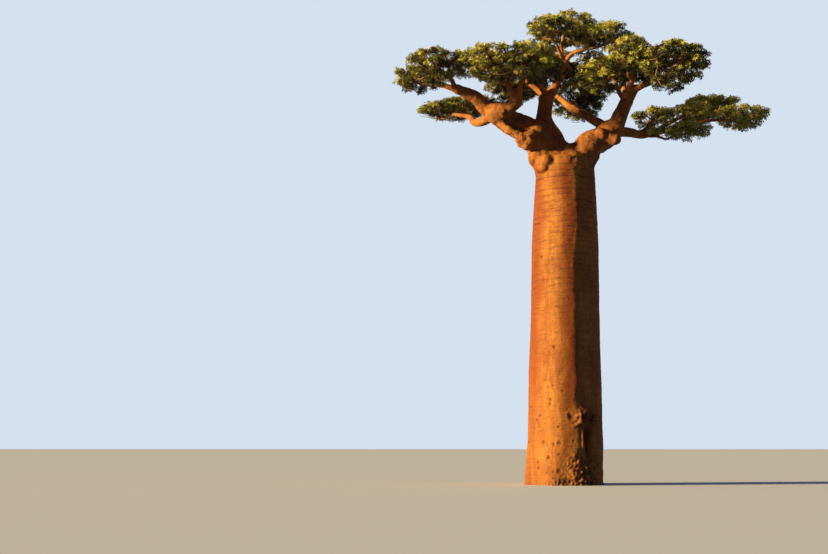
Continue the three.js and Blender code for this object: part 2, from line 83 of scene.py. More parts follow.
# Every limb: its name, the limb that it grows from and how far along it, its compass heading in degrees
# from +X towards +Y, its horizontal reach, its rise, the arch of its middle, and its radius at the root
# and at the tip.
LIMB_ROWS = [
    ("bough_left", "trunk", 0.925, 197, 3.4, 2.35, 0.12, 0.95, 0.55),
    ("bough_right", "trunk", 0.915, 0, 2.3, 1.8, 0.1, 0.88, 0.5),
    ("bough_middle", "bough_left", 0.31, 69, 0.55, 2.7, 0, 0.5, 0.3),
    ("bough_left_outer", "bough_left", 0.94, 203, 2.1, 1.1, 0.12, 0.44, 0.2),
    ("branch_left_end", "bough_left_outer", 0.95, 170, 1.2, 0.4, 0, 0.16, 0.09),
    ("branch_left_lift", "bough_left_outer", 0.95, 248, 0.8, 0.35, 0, 0.15, 0.09),
    ("bough_left_inner", "bough_left", 0.92, 318, 1.2, 0.65, -0.1, 0.32, 0.2),
    ("branch_left_front", "bough_left_inner", 0.93, 247, 1.9, 0.5, 0.1, 0.16, 0.09),
    ("branch_left_middle", "bough_left_inner", 0.93, 284, 2, 0.6, 0.1, 0.15, 0.09),
    ("branch_left_spur", "bough_left_inner", 0.8, 95, 0.3, 0.35, 0, 0.1, 0.06),
    ("bough_left_low", "bough_left", 0.93, 126, 3.8, 1, -0.35, 0.26, 0.1),
    ("branch_left_rear", "bough_left_low", 0.6, 100, 3.3, 1.55, 0, 0.14, 0.08),
    ("bough_middle_upper", "bough_middle", 0.95, 303, 1.65, 1.25, -0.1, 0.26, 0.16),
    ("branch_top_left", "bough_middle_upper", 0.95, 243, 0.65, 0.65, 0, 0.1, 0.07),
    ("branch_top_right", "bough_middle_upper", 0.95, 331, 1.05, 0.45, 0.1, 0.12, 0.08),
    ("branch_top_centre", "bough_middle_upper", 0.95, 100, 0.3, 1.1, 0, 0.11, 0.07),
    ("branch_top_rear", "bough_middle_upper", 0.4, 76, 2.1, 1.65, 0.1, 0.13, 0.08),
    ("branch_middle_front", "bough_middle", 0.93, 262, 1.5, 0.45, 0, 0.18, 0.1),
    ("branch_middle_left", "bough_middle", 0.92, 150, 1.8, 1.75, 0.1, 0.17, 0.09),
    ("bough_right_upper", "bough_right", 0.9, 312, 1.65, 1.8, -0.15, 0.42, 0.27),
    ("branch_right_crest", "bough_right_upper", 0.95, 262, 1.45, 0.45, 0, 0.16, 0.09),
    ("branch_right_front", "bough_right_upper", 0.94, 298, 2, -0.1, 0.05, 0.18, 0.1),
    ("branch_right_brow", "bough_right_upper", 0.94, 342, 1.6, 0.45, 0, 0.15, 0.08),
    ("branch_right_back", "bough_right_upper", 0.7, 112, 1.5, 1.6, 0.1, 0.12, 0.08),
    ("bough_cross", "bough_right", 0.94, 138, 4.9, 3.4, 0.1, 0.24, 0.1),
    ("branch_cross_rear", "bough_cross", 0.45, 92, 2, 1, 0, 0.14, 0.09),
    ("branch_rear_right", "bough_right_upper", 0.6, 81, 4, 3.2, 0.1, 0.18, 0.09),
    ("bough_right_low", "bough_right", 0.93, 36, 3.7, 0.55, -0.12, 0.25, 0.15),
    ("branch_right_end", "bough_right_low", 0.96, 5, 2.6, 0.5, -0.05, 0.13, 0.07),
    ("branch_right_shelf", "bough_right_low", 0.96, 35, 0.9, 0.65, 0, 0.11, 0.07),
    ("branch_right_small", "bough_right_low", 0.45, 60, 1.25, 0.9, 0, 0.11, 0.07),
    ("branch_right_under", "bough_right_low", 0.5, 345, 0.95, -0.25, 0, 0.1, 0.06),
    ("branch_right_rear", "bough_right_low", 0.75, 50, 3.3, 1.7, 0.1, 0.13, 0.08),
]
ROOT_SWELL = 0.3
ROOT_SWELL_FADE = 7
CROOK = 0.045
CROOK_SIDEWAYS = 1.6
CROOK_POINTS = 3
FIRST_LIMB_SEED = 101
LIMB_SEED_STEP = 17
FORKS_FROM = 0.9
ROUNDED_TIP = 0.1
TIP_ROUNDING = 0.85
GREAT_BOUGH_START = 0.11
FIELD_STEP = 0.18
SKIN_STEP = 0.07

# Every foliage pad: its name, which is its limb's as well, its group, its half sizes along that limb,
# across it and upwards, how far its tufts' middles spread sideways, down and up in shares of those,
# and the painted light added to the colours of its leaves.
PAD_ROWS = [
    ("left_end", "left", (1.45, 1.75, 0.95), (0.7, 0.66, 0.25), 0),
    ("left_lift", "left", (1.55, 1.6, 1.1), (0.86, 0.9, 0.36), 0),
    ("left_front", "left", (1.6, 1.6, 1.1), (0.86, 0.8, 0.4), 0.12),
    ("left_middle", "left", (1.5, 1.4, 1.05), (0.82, 0.85, 0.4), 0.14),
    ("left_spur", "left", (0.8, 0.85, 0.6), (0.75, 0.95, 0.3), 0),
    ("left_low", "left", (1.8, 2.1, 0.65), (0.67, 0.08, 0.5), 0),
    ("left_rear", "left", (1.9, 2.1, 0.7), (0.86, 0.15, 0.5), 0),
    ("top_left", "top", (1.6, 1.5, 1), (0.68, 0.2, 0.38), 0),
    ("top_right", "top", (1.7, 1.7, 1), (0.7, 0.3, 0.44), 0),
    ("top_centre", "top", (1.7, 1.8, 1), (0.78, 0.95, 0.6), 0),
    ("top_rear", "top", (1.9, 2.1, 0.85), (0.92, 0.9, 0.05), 0),
    ("middle_front", "top", (1.2, 1.2, 0.8), (0.82, 1, 0.6), 0),
    ("middle_left", "top", (1.7, 1.8, 0.8), (0.9, 0.6, 0.5), 0),
    ("right_crest", "right", (1.45, 1.25, 0.95), (0.7, 0.85, 0.86), 0),
    ("right_front", "right", (1.7, 1.7, 1.3), (0.82, 0.88, 0.55), -0.08),
    ("right_brow", "right", (1.55, 1.6, 1.15), (0.72, 0.15, 0.2), 0),
    ("right_back", "right", (1.7, 1.6, 0.9), (0.92, 1, 0.25), 0),
    ("cross", "top", (1.8, 2, 0.8), (0.84, 1.1, 0.2), 0),
    ("cross_rear", "right", (1.9, 1.5, 1.1), (0.9, 0.9, 0.75), 0),
    ("rear_right", "right", (1.8, 1.9, 0.8), (0.92, 0.9, 0.15), 0),
    ("right_end", "low_right", (1.5, 1.5, 0.85), (0.8, 0.75, 0.1), 0.5),
    ("right_shelf", "low_right", (1.35, 1.35, 0.85), (0.7, 0.8, 0.3), 0.45),
    ("right_small", "low_right", (1.1, 1.1, 0.95), (0.95, 0.95, 0.1), 0.35),
    ("right_under", "low_right", (1.55, 1.1, 0.5), (0.92, 0.5, 0.3), 0.45),
    ("right_rear", "low_right", (1.8, 2, 0.75), (0.72, 0.7, 0.42), 0.5),
]
PAD_FORWARD = 0.6
PAD_LIFT = 0.35
HUB_AHEAD = -0.3
HUB_UP = -0.35
AXIS_END_AHEAD = 0.45
STEM_BEND = 0.5
PAD_TWIGS = [(0.6, 135, 0.1), (0.69, 115, -0.25), (0.79, 62, -0.2), (0.89, 48, 0.12)]
TWIG_SWING = 14
TWIG_REACH = 0.45
TWIG_REACH_SPREAD = 0.1
FIRST_PAD_SEED = 7013
PAD_SEED_STEP = 131
SPACE_MARGIN = 0.06
LIMB_SAMPLE_STEP = 0.12


def unit(vectors):
    """Vectors scaled to length one."""
    return vectors / np.maximum(np.linalg.norm(vectors, axis=-1, keepdims=True), 1e-9)


def norms(vectors):
    """The length of each vector."""
    return np.linalg.norm(vectors, axis=-1)


def bell(values, power=2):
    """1 at 0, fading to 0 on both sides of it."""
    return np.exp(-(values**power))


def ease(low, high, values):
    """0 below low, 1 above high, and an even rise between them."""
    share = np.clip((values - low) / (high - low), 0, 1)
    return share * share * (3 - 2 * share)


def random_from(seed):
    """The source's own stream of numbers from 0 to 1, the same on every run."""
    state = seed
    while True:
        state = (state * 1664525 + 1013904223) % 2**32
        yield state / 2**32


def lattice(cells, seed):
    """A number from -1 to 1 for every whole-numbered cell, from bits that are stirred twice."""
    x, y, z = np.moveaxis(cells.astype(np.uint64), -1, 0)
    bits = (x * 374761393 + y * 668265263 + z * 2147483647 + seed * 1274126177) & LOW_BITS
    bits = ((bits ^ (bits >> 13)) * 1274126177) & LOW_BITS
    bits = ((bits ^ (bits >> 16)) * 2246822519) & LOW_BITS
    return (bits ^ (bits >> 15)).astype(float) / (LOW_BITS >> 1) - 1


def noise(points, seed):
    """Smooth noise from -1 to 1 at points, with bumps about one unit across."""
    floor = np.floor(points)
    share = points - floor
    share = share * share * (3 - 2 * share)
    base = (floor + NOISE_ORIGIN).astype(np.int64)
    total = 0
    for corner in np.ndindex(2, 2, 2):
        weight = np.where(corner, share, 1 - share).prod(axis=-1)
        total = total + weight * lattice(base + corner, seed)
    return total


def layered_noise(points, octaves, seed):
    """Noise with finer and weaker layers on it."""
    total = 0
    for layer in range(octaves):
        total = total + noise(points * 2.03**layer, seed + layer) * 0.5**layer
    return total


class Curve:
    """The smooth line through a few points, read by shares of its length."""

    STEPS = 200

    def __init__(self, points):
        points = np.array(points, float)
        self.count = len(points) - 1
        self.points = np.vstack([2 * points[0] - points[1], points, 2 * points[-1] - points[-2]])
        self.times = np.linspace(0, 1, self.STEPS + 1)
        steps = norms(np.diff(self.at_time(self.times), axis=0))
        self.lengths = np.concatenate([[0], np.cumsum(steps)])
        self.length = self.lengths[-1]

    def at_time(self, times):
        times = np.atleast_1d(times)
        k = np.minimum((times * self.count).astype(int), self.count - 1)
        w = (times * self.count - k)[:, None]
        near = [self.points[k + offset] for offset in range(4)]
        p0, p1, p2, p3 = near
        d0, d1, d2 = (np.sqrt(np.linalg.norm(b - a, axis=1, keepdims=True)) for a, b in zip(near, near[1:]))
        leaving = ((p1 - p0) / d0 - (p2 - p0) / (d0 + d1) + (p2 - p1) / d1) * d1
        meeting = ((p2 - p1) / d1 - (p3 - p1) / (d1 + d2) + (p3 - p2) / d2) * d1
        square = -3 * p1 + 3 * p2 - 2 * leaving - meeting
        cube = 2 * p1 - 2 * p2 + leaving + meeting
        return p1 + leaving * w + square * w**2 + cube * w**3

    def time_of(self, shares):
        return np.interp(np.atleast_1d(shares) * self.length, self.lengths, self.times)

    def at(self, shares):
        return self.at_time(self.time_of(shares))

    def tangent(self, share):
        time = self.time_of(share)
        ends = self.at_time(np.clip(np.concatenate([time - 1e-4, time + 1e-4]), 0, 1))
        return unit(ends[1] - ends[0])


# The skeleton


def trunk_centre(heights):
    """The middle of the trunk at heights."""
    heights = np.asarray(heights, float)
    return np.stack([TRUNK_LEAN * heights / TRUNK_HEIGHT, np.zeros_like(heights), heights], axis=-1)


def around_trunk(points):
    """Each point's angle round the trunk, its distance from the axis, and its level way out."""
    out = (points - trunk_centre(points[:, 2]))[:, :2]
    return np.arctan2(out[:, 1], out[:, 0]), norms(out), out


def heading_gap(angles, heading):
    """The turn from a compass heading to each angle."""
    gap = angles - math.radians(heading)
    return np.arctan2(np.sin(gap), np.cos(gap))


def trunk_radius(heights, angles, features=True):
    """The trunk's radius at heights and angles, before the bark's relief."""
    levels, radii = zip(*TRUNK_PROFILE)
    soft = np.clip(heights, 0, PROFILE_SOFTNESS)
    shifts = (-1, -0.5, 0, 0.5, 1)
    radius = np.mean([np.interp(heights + soft * shift, levels, radii) for shift in shifts], axis=0)
    lobe = np.exp(-heights / ROOT_LOBE_FADE) * np.cos(ROOT_LOBES * angles + ROOT_LOBE_TURN)
    radius = radius + ROOT_LOBE_DEPTH * lobe
    for heading, height, across, tall, depth in TRUNK_FEATURES if features else []:
        sideways = heading_gap(angles, heading) * radius / across
        radius = radius + depth * np.exp(-(sideways**2) - ((heights - height) / tall) ** 2)
    return radius


def level_ways(angle):
    """The level way at an angle, and the one to its left."""
    x, y = math.cos(angle), math.sin(angle)
    return np.array([x, y, 0]), np.array([-y, x, 0])


def limb_curve(start, heading, reach, rise, arch, seed):
    """The line of a limb: a shallow arch with a few crooked bends in it."""
    random = random_from(seed)
    out, side = level_ways(math.radians(heading))
    end = start + out * reach + UP * rise
    bend = CROOK * math.hypot(reach, rise)
    points = [start]
    for k in range(1, CROOK_POINTS + 1):
        t = k / (CROOK_POINTS + 1)
        point = start + (end - start) * t + UP * (arch * 4 * t * (1 - t) + bend * (2 * next(random) - 1))
        points.append(point + side * bend * (2 * next(random) - 1) * CROOK_SIDEWAYS)
    return Curve(points + [end])


class Limb:
    """One bough or branch: its curve, and its radius along it."""

    def __init__(self, row, index, grown):
        self.name, self.parent, at, heading, reach, rise, arch, self.root, self.tip = row
        self.forks = any(other[1] == self.name and other[2] > FORKS_FROM for other in LIMB_ROWS)
        on_trunk = self.parent == "trunk"
        start = trunk_centre(TRUNK_HEIGHT * at) if on_trunk else grown[self.parent].curve.at(at)[0]
        self.curve = limb_curve(start, heading, reach, rise, arch, FIRST_LIMB_SEED + LIMB_SEED_STEP * index)
        self.first = GREAT_BOUGH_START if on_trunk else 0
        self.field_line = self.samples(FIELD_STEP, self.first)

    def radius(self, t):
        taper = self.root + (self.tip - self.root) * t
        past = np.maximum(0, (t - 1 + ROUNDED_TIP) / ROUNDED_TIP) if self.forks else 0
        swell = 1 + ROOT_SWELL * np.exp(-t * ROOT_SWELL_FADE)
        return taper * swell * np.sqrt(1 - TIP_ROUNDING * past * past)

    def samples(self, step, first=0):
        t = np.linspace(first, 1, math.ceil(self.curve.length / step) + 1)
        return self.curve.at(t), self.radius(t), t * self.curve.length


def grow_limbs():
    """Every limb by its name, each grown from one before it."""
    grown = {}
    for index, row in enumerate(LIMB_ROWS):
        grown[row[0]] = Limb(row, index, grown)
    return grown


# Meshes from arrays


def linked(name, data):
    """A new object of the scene."""
    made = bpy.data.objects.new(name, data)
    bpy.context.scene.collection.objects.link(made)
    return made


def mesh_object(name, points, blocks, materials, slots=None):
    """An object from points and blocks of faces of one kind, flat where slots deal out its colours."""
    faces = np.concatenate(blocks).astype(np.int32)
    mesh = bpy.data.meshes.new(name)
    mesh.vertices.add(len(points))
    mesh.vertices.foreach_set("co", np.asarray(points, np.float32).ravel())
    mesh.loops.add(faces.size)
    mesh.loops.foreach_set("vertex_index", faces.ravel())
    mesh.polygons.add(len(faces))
    mesh.polygons.foreach_set("loop_start", np.arange(0, faces.size, faces.shape[1], dtype=np.int32))
    mesh.polygons.foreach_set("use_smooth", np.full(len(faces), slots is None))
    for material in materials:
        mesh.materials.append(material)
    if slots is not None:
        mesh.polygons.foreach_set("material_index", slots.astype(np.int32))
    mesh.update(calc_edges=True)
    mesh.validate()
    return linked(name, mesh)


def frames_along(points):
    """The directions along and across a line of points, turned as little as may be."""
    tangents = unit(np.gradient(points, axis=0))
    spare = UP if abs(tangents[0][2]) < 0.9 else LEVEL
    across = [unit(np.cross(tangents[0], spare))]
    for tangent in tangents[1:]:
        last = across[-1]
        across.append(unit(last - tangent * (last @ tangent)))
    across = np.array(across)
    return tangents, across, np.cross(tangents, across)


def circle(sides):
    """The cosine and sine of each side of a ring, each in its own column."""
    angles = np.linspace(0, 2 * math.pi, sides, endpoint=False)[:, None]
    return np.cos(angles), np.sin(angles)


def ring_quads(starts, sides):
    """The quads from each ring of corners, which begins at one of starts, to the ring after it."""
    first = np.arange(sides)
    second = (first + 1) % sides
    quads = np.stack([first, second, sides + second, sides + first], axis=1)
    return (starts.reshape(-1, 1, 1) + quads).reshape(-1, 4)


def tube(points, radii, sides, round_start=True):
    """The corners and the blocks of faces of a closed tube with rounded ends."""
    tangents, across, along = frames_along(points)
    rings = [(points[k], radii[k], k) for k in range(len(points))]
    for turn in (35, 65, 88):
        reach, width = math.sin(math.radians(turn)), math.cos(math.radians(turn))
        rings.append((points[-1] + tangents[-1] * radii[-1] * reach, radii[-1] * width, -1))
        if round_start:
            rings.insert(0, (points[0] - tangents[0] * radii[0] * reach, radii[0] * width, 0))
    cosines, sines = circle(sides)
    corners = [centre + radius * (cosines * across[k] + sines * along[k]) for centre, radius, k in rings]
    quads = ring_quads(np.arange(len(rings) - 1) * sides, sides)
    cap = np.arange(sides)[None]
    return np.concatenate(corners), [quads, cap[:, ::-1], cap + (len(rings) - 1) * sides]


def stacked(parts):
    """One array of corners from several parts, and the parts' blocks of faces, counted on through it."""
    count, blocks = 0, []
    for corners, faces in parts:
        blocks += [block + count for block in faces]
        count += len(corners)
    return np.concatenate([corners for corners, _ in parts]), blocks


# The wood: the trunk's column, and its head grown together with every bough and branch

SEAM_HEIGHT = 13.9
HEAD_PROFILE = [*TRUNK_PROFILE[:7], (14.88, 1.36), (15.04, 1.22), (15.14, 0.8), (15.18, 0.2)]
JOIN_SOFTNESS = 0.62
TRUNK_SOFTNESS = 0.35
FORK_SOFTNESS = 0.16
TRUNK_GIRTH = 1.3
FAR = 9.0

# Rolls of wood on the head: each a place and radius at its start and at its end. They are the knuckles
# of the burl, the rib, flap and knee of the left bough, the root of the middle bough, and the right
# bough's knob and underside.
ROLLS = [
    ((-1.08, -0.5, 15), 0.38, (-0.95, -0.75, 15.05), 0.34),
    ((-0.72, -0.85, 14.72), 0.38, (-0.52, -1, 14.78), 0.36),
    ((-0.9, -0.72, 14.52), 0.26, (-0.68, -0.95, 14.44), 0.27),
    ((-2.8, -1.05, 16.62), 0.2, (-2.25, -1.28, 16.12), 0.24),
    ((-2.25, -1.28, 16.12), 0.24, (-1.6, -1.25, 15.78), 0.28),
    ((-1.6, -1.2, 15.8), 0.3, (-1.2, -1.25, 15.98), 0.26),
    ((-1.8, -1.12, 15.75), 0.26, (-1.3, -1.24, 15.66), 0.26),
    ((-1.75, -0.95, 15.6), 0.22, (-1.45, -1.08, 15.42), 0.22),
    ((-2.9, -0.98, 16.88), 0.44, (-2.55, -1.1, 17.05), 0.48),
    ((-2.45, -1.1, 17), 0.42, (-1.95, -1.35, 17.4), 0.34),
    ((0, -0.08, 15.3), 0.48, (-0.6, -0.12, 16.85), 0.38),
    ((2.2, -0.45, 15.9), 0.34, (2.6, -0.5, 15.75), 0.28),
    ((0.95, -0.3, 15.25), 0.4, (1.95, -0.55, 15.98), 0.36),
    ((1.1, 0.05, 14.45), 0.3, (1.62, 0.05, 15.15), 0.36),
]
ROLL_SOFTNESS = 0.1
ROLL_REACH = 1.8

# Small bumps of the bark, and hollows under the boughs: a place, a radius and a height or depth.
BUMPS = [
    ((2.62, -0.95, 16.7), 0.12, 0.09), ((2.8, -0.9, 16.85), 0.1, 0.09), ((2.5, -0.95, 16.88), 0.1, 0.08),
    ((2.72, -0.95, 17.02), 0.11, 0.09), ((2.9, -0.85, 16.62), 0.1, 0.08), ((2.58, -0.8, 16.5), 0.12, 0.08),
    ((-1.75, -1.5, 17.6), 0.2, 0.1), ((-2.6, -1.55, 16.9), 0.3, 0.08), ((0.98, -1, 14.35), 0.12, 0.13),
    ((1.2, -0.8, 14.22), 0.12, 0.12), ((0.75, -0.1, 16.12), 0.42, -0.14), ((0.14, -0.1, 16.2), 0.3, 0.14),
    ((0.52, -0.3, 15.72), 0.26, -0.12), ((-1.8, -0.2, 15.3), 0.42, -0.2), ((-3.1, -0.7, 16.45), 0.5, -0.13),
    ((-2.4, -0.6, 15.95), 0.45, -0.1), ((-0.3, -0.62, 16.6), 0.22, 0.12), ((-0.62, -0.62, 16.95), 0.2, 0.1),
    ((-1.9, -0.85, 16.8), 0.4, -0.18), ((-1.5, -0.9, 16.4), 0.42, -0.2), ((-0.35, -1.15, 15.42), 0.42, -0.2),
    ((0.25, -1.05, 15.35), 0.42, -0.16), ((-1.25, -1.05, 16.5), 0.32, -0.16), ((-2, -1.3, 15.85), 0.2, 0.05),
]

# Painted shade: dark patches of the bark under the fork and inside the left bough: a place, half sizes and a
# strength.
FORK_SHADE_PATCHES = [
    ((0.15, -0.7, 15.7), (1.15, 1, 0.62), 0.55),
    ((-1.7, -0.7, 16.7), (0.95, 0.9, 0.42), 0.55),
    ((-0.75, -0.75, 16.1), (0.5, 0.9, 0.5), 0.5),
    ((1.15, -0.8, 15.2), (0.5, 0.7, 0.5), 0.4),
]


def line_field(points, line, radii, starts):
    """How far points are from a tapering line, its radius and length there, and the way out."""
    ends = np.diff(line, axis=0)
    squares = np.maximum((ends**2).sum(axis=1), 1e-12)
    from_start = points[:, None] - line[:-1]
    share = np.clip((from_start * ends).sum(axis=2) / squares, 0, 1)
    out = from_start - share[..., None] * ends
    reach = norms(out)
    girth = radii[:-1] + np.diff(radii) * share
    best = np.argmin(reach - girth, axis=1)
    rows = np.arange(len(points))
    length = starts[best] + share[rows, best] * np.sqrt(squares[best])
    return reach[rows, best] - girth[rows, best], girth[rows, best], length, unit(out[rows, best])


def trunk_field(points):
    """How far points are from the trunk and its rounded top, and the way out of it."""
    heights = points[:, 2]
    angles, away, out = around_trunk(points)
    levels, radii = (np.array(column, float) for column in zip(*HEAD_PROFILE))
    swelling = trunk_radius(heights, angles) - trunk_radius(heights, angles, features=False)
    place = np.stack([away - swelling, heights], axis=1)
    line = np.stack([np.append(radii, 0), np.append(levels, levels[-1])], axis=1)
    gap = line_field(place, line, np.zeros(len(line)), np.zeros(len(line)))[0]
    inside = (place[:, 0] < np.interp(heights, levels, radii)) & (heights < levels[-1])
    outward = np.concatenate([unit(out), np.zeros((len(points), 1))], axis=1)
    dome = ease(14.85, 15.15, heights)[:, None]
    return np.where(inside, -gap, gap), unit(outward * (1 - dome) + UP * dome)


def mixed(first, second, share):
    """Numbers or vectors that go from first to second as share goes from 0 to 1."""
    share = share[:, None] if first.ndim > share.ndim else share
    return first * (1 - share) + second * share


def blend(first, second, softness):
    """The smaller of two distances, rounded where they meet, and the share of the first in it."""
    share = np.clip(0.5 + 0.5 * (second - first) / softness, 0, 1)
    return mixed(second, first, share) - softness * share * (1 - share), share


def wood_field(points, limbs):
    """Distance to the wood, the way out, and the girth and length along the nearest limb."""
    shape, columns = (len(limbs) + 1, len(points)), np.arange(len(points))
    distances, girths = np.full(shape, FAR), np.full(shape, TRUNK_GIRTH)
    lengths, ways = np.zeros(shape), np.zeros((*shape, 3))
    distances[0], ways[0] = trunk_field(points)
    lengths[0] = points[:, 2]
    for row, limb in enumerate(limbs, start=1):
        line, radii, starts = limb.field_line
        reach = radii.max() + 0.5
        near = ((points > line.min(axis=0) - reach) & (points < line.max(axis=0) + reach)).all(axis=1)
        if near.any():
            found = line_field(points[near], line, radii, starts)
            distances[row, near], girths[row, near], lengths[row, near], ways[row, near] = found
    order = np.argsort(distances, axis=0)[:3]
    total, way, girth = (kind[order[0], columns] for kind in (distances, ways, girths))
    great = np.array([False, *(limb.parent == "trunk" for limb in limbs)])
    for rank in order[1:]:
        softness = np.where((order[0] == 0) | (rank == 0), TRUNK_SOFTNESS, JOIN_SOFTNESS)
        softness = np.where(great[order[0]] & great[rank], FORK_SOFTNESS, softness)
        softness = softness * np.minimum(girth, girths[rank, columns])
        total, share = blend(total, distances[rank, columns], softness)
        way = mixed(ways[rank, columns], way, share)
    return total, unit(way), girth, lengths[order[0], columns], order[0]


def roll_field(points):
    """Distance to the nearest roll, and the way out of it."""
    distance, way = np.full(len(points), FAR), np.zeros_like(points)
    for start, first, end, last in ROLLS:
        line, radii = np.array([start, end], float), np.array([first, last])
        near = norms(points - line.mean(axis=0)) < ROLL_REACH
        found, _, _, out = line_field(points[near], line, radii, np.zeros(2))
        closer = np.full(len(points), False)
        closer[near] = found < distance[near]
        way[closer] = out[closer[near]]
        distance[closer] = found[closer[near]]
    return distance, way


def remeshed(corners, blocks, voxel):
    """The outer skin of overlapping closed meshes, as one mesh of small quads."""
    mesh = bpy.data.meshes.new("rough_wood")
    mesh.from_pydata(corners.tolist(), [], [face for block in blocks for face in block.tolist()])
    rough = linked("rough_wood", mesh)
    remesh = rough.modifiers.new("skin", "REMESH")
    remesh.mode = "VOXEL"
    remesh.voxel_size = voxel
    skin = bpy.data.meshes.new_from_object(rough.evaluated_get(bpy.context.evaluated_depsgraph_get()))
    bpy.data.objects.remove(rough)
    bpy.data.meshes.remove(mesh)
    return skin


HEAD_VOXEL = 0.034
FORK_X = 0.56
FORK_HOLLOW = (0.1, -0.6, 15.6)
FORK_HOLLOW_SIZE = (1.2, 1.2, 0.9)
TRUNK_STUB = 0.4
FULL_GIRTH = 0.5
RING_SPACING = 0.17
RING_DEPTH = 0.016
LUMP_HEIGHT = 0.016
FOLD_HEIGHT = 0.018
VALLEY_DEPTH = 0.014
SIDES_BY_GIRTH = [(0.4, 40), (0.19, 24), (0, 14)]
PULL_ROUNDS = 4
PULL_STEP = 0.12


def head_mesh(limbs):
    """The rough skin of the head, cut off level at the seam with the trunk."""
    parts = []
    for limb in limbs.values():
        line, radii, _ = limb.samples(SKIN_STEP, limb.first)
        sides = next(sides for girth, sides in SIDES_BY_GIRTH if limb.root > girth)
        parts.append(tube(line, radii, sides))
    heights = np.linspace(SEAM_HEIGHT - TRUNK_STUB, HEAD_PROFILE[-1][0], 30)
    levels, profile = zip(*HEAD_PROFILE)
    parts.append(tube(trunk_centre(heights), np.interp(heights, levels, profile), 96, round_start=False))
    for start, first, end, last in ROLLS:
        share = np.linspace(0, 1, 5)[:, None]
        line = np.array(start) * (1 - share) + np.array(end) * share
        parts.append(tube(line, np.linspace(first, last, 5), 16))
    skin = remeshed(*stacked(parts), HEAD_VOXEL)
    cut = bmesh.new()
    cut.from_mesh(skin)
    everything = cut.verts[:] + cut.edges[:] + cut.faces[:]
    seam = UP * SEAM_HEIGHT
    bmesh.ops.bisect_plane(cut, geom=everything, plane_co=seam, plane_no=UP, clear_inner=True)
    cut.to_mesh(skin)
    cut.free()
    return skin


def read_vectors(collection, name):
    """An array of three numbers for each item of a mesh."""
    found = np.empty(len(collection) * 3, np.float32)
    collection.foreach_get(name, found)
    return found.reshape(-1, 3).astype(float)


def write_points(mesh, points):
    """Moves the mesh's points."""
    mesh.vertices.foreach_set("co", points.astype(np.float32).ravel())
    mesh.update()


def write_values(mesh, **columns):
    """Keeps some numbers for each point of the mesh, for its material."""
    for name, values in columns.items():
        kept = mesh.attributes.new(name, "FLOAT", "POINT")
        kept.data.foreach_set("value", np.clip(values, 0, 1).astype(np.float32).ravel())


def pull_to_wood(points, limbs):
    """Moves points on to the smooth wood, and gives what is near each and how far in the rolls lie."""
    for _ in range(PULL_ROUNDS):
        distance, way, girth, length, nearest = wood_field(points, limbs)
        roll, roll_way = roll_field(points)
        total, share = blend(distance, roll, ROLL_SOFTNESS)
        way = unit(mixed(roll_way, way, share))
        trunk, trunk_way = trunk_field(points)
        near_seam = ease(SEAM_HEIGHT + 0.3, SEAM_HEIGHT + 0.05, points[:, 2])
        total = mixed(total, trunk, near_seam)
        way = unit(mixed(way, trunk_way, near_seam))
        height = points[:, 2].copy()
        points = points - way * np.clip(total, -PULL_STEP, PULL_STEP)[:, None]
        seam = height < SEAM_HEIGHT + 0.001
        points[seam, 2] = SEAM_HEIGHT
    return points, (girth, length, nearest), roll - distance


def limb_relief(points, girth, length, nearest):
    """How far the bark of the limbs stands out, and the painted shade that darkens its creases and valleys.
    """
    size = np.clip(girth / FULL_GIRTH, 0.16, 1.3)
    swell = layered_noise(points * 1.4, 2, 11) * 0.045 - 0.03
    lumps = layered_noise(points * 4.2, 3, 21)
    folds = 1 - np.abs(layered_noise(points * (2.6, 2.6, 2.2) + 7, 2, 31))
    ripple = length / RING_SPACING + noise(points * 1.9, 41) * 1.3 + nearest * 0.37
    crease = ease(0.55, 1, np.abs((ripple % 1) - 0.5) * 2)
    crease = crease * ease(-0.1, 0.6, noise(points * 1.5, 51))
    valley = ease(0.32, 0.1, np.abs(layered_noise(points * 2.1 + 19, 2, 61)))
    relief = size * (swell + lumps * LUMP_HEIGHT + folds * FOLD_HEIGHT - 0.011 - valley * VALLEY_DEPTH)
    relief = relief - crease * RING_DEPTH * np.minimum(size, 1)
    # Painted shade darkens the creases and the valleys.
    return relief, crease * 0.45 + valley * 0.2


# The bark of the trunk

TRUNK_SIDES = 256
RING_STEP = 0.0385
CREASE_SPACING = 0.135
CREASE_DEPTH = 0.014
CREASE_WIDTH = 0.024
# How much painted shade darkens the level creases.
CREASE_SHADE = 0.6
CREASE_WANDER = [(1, 1, 0.03), (3, 2, 0.016), (9, -1, 0.008)]

# Layers of noise on the trunk: how it is stretched, its octaves, its seed and its height.
TRUNK_LAYERS = [((0.8, 0.8, 0.4), 2, 71, 0.03), ((3, 3, 2), 3, 81, 0.007), ((2.2, 2.2, 10), 2, 91, 0.005)]

# The gnarled foot. A face of it is a heading and a half width in radians. A window on it is a heading,
# a half width and its power, and a height with its half size and power.
GNARL = (308, 0.5)
LUMP_PATCH = (304, 0.62, 4, 2.9, 0.3, 2)
STREAK = (297.5, 0.08, 2, 2, 0.5, 4)
STREAK_HEIGHT = 0.1
CLEFT_HEADING = 309
CLEFT_SPAN = (1.85, 0.78, 4)
CLEFT_DEPTH = 0.15
FLANK = (350, 0.7)
FLANK_DEPTH = 0.14
UNDERCUT = 0.09

# The puckered bark and the seam below the burl, the heading of the redder left side, and the heading of the
# band where the redder colour is painted shade of the half-lit side.
PUCKER_DEPTH = 0.05
SEAM_DEPTH = CREASE_DEPTH * 1.4
RED_SIDE = 190
SHADE_BAND_HEADING = 276

# Long ridges down the trunk: heading, half width in radians, and height.
RIDGES = [
    (262, 0.36, 0.06), (287, 0.36, 0.065), (228, 0.5, 0.02), (200, 0.4, 0.02), (318, 0.45, 0.02),
    (15, 0.5, 0.04), (60, 0.45, 0.03), (104, 0.5, 0.045), (150, 0.45, 0.03),
]

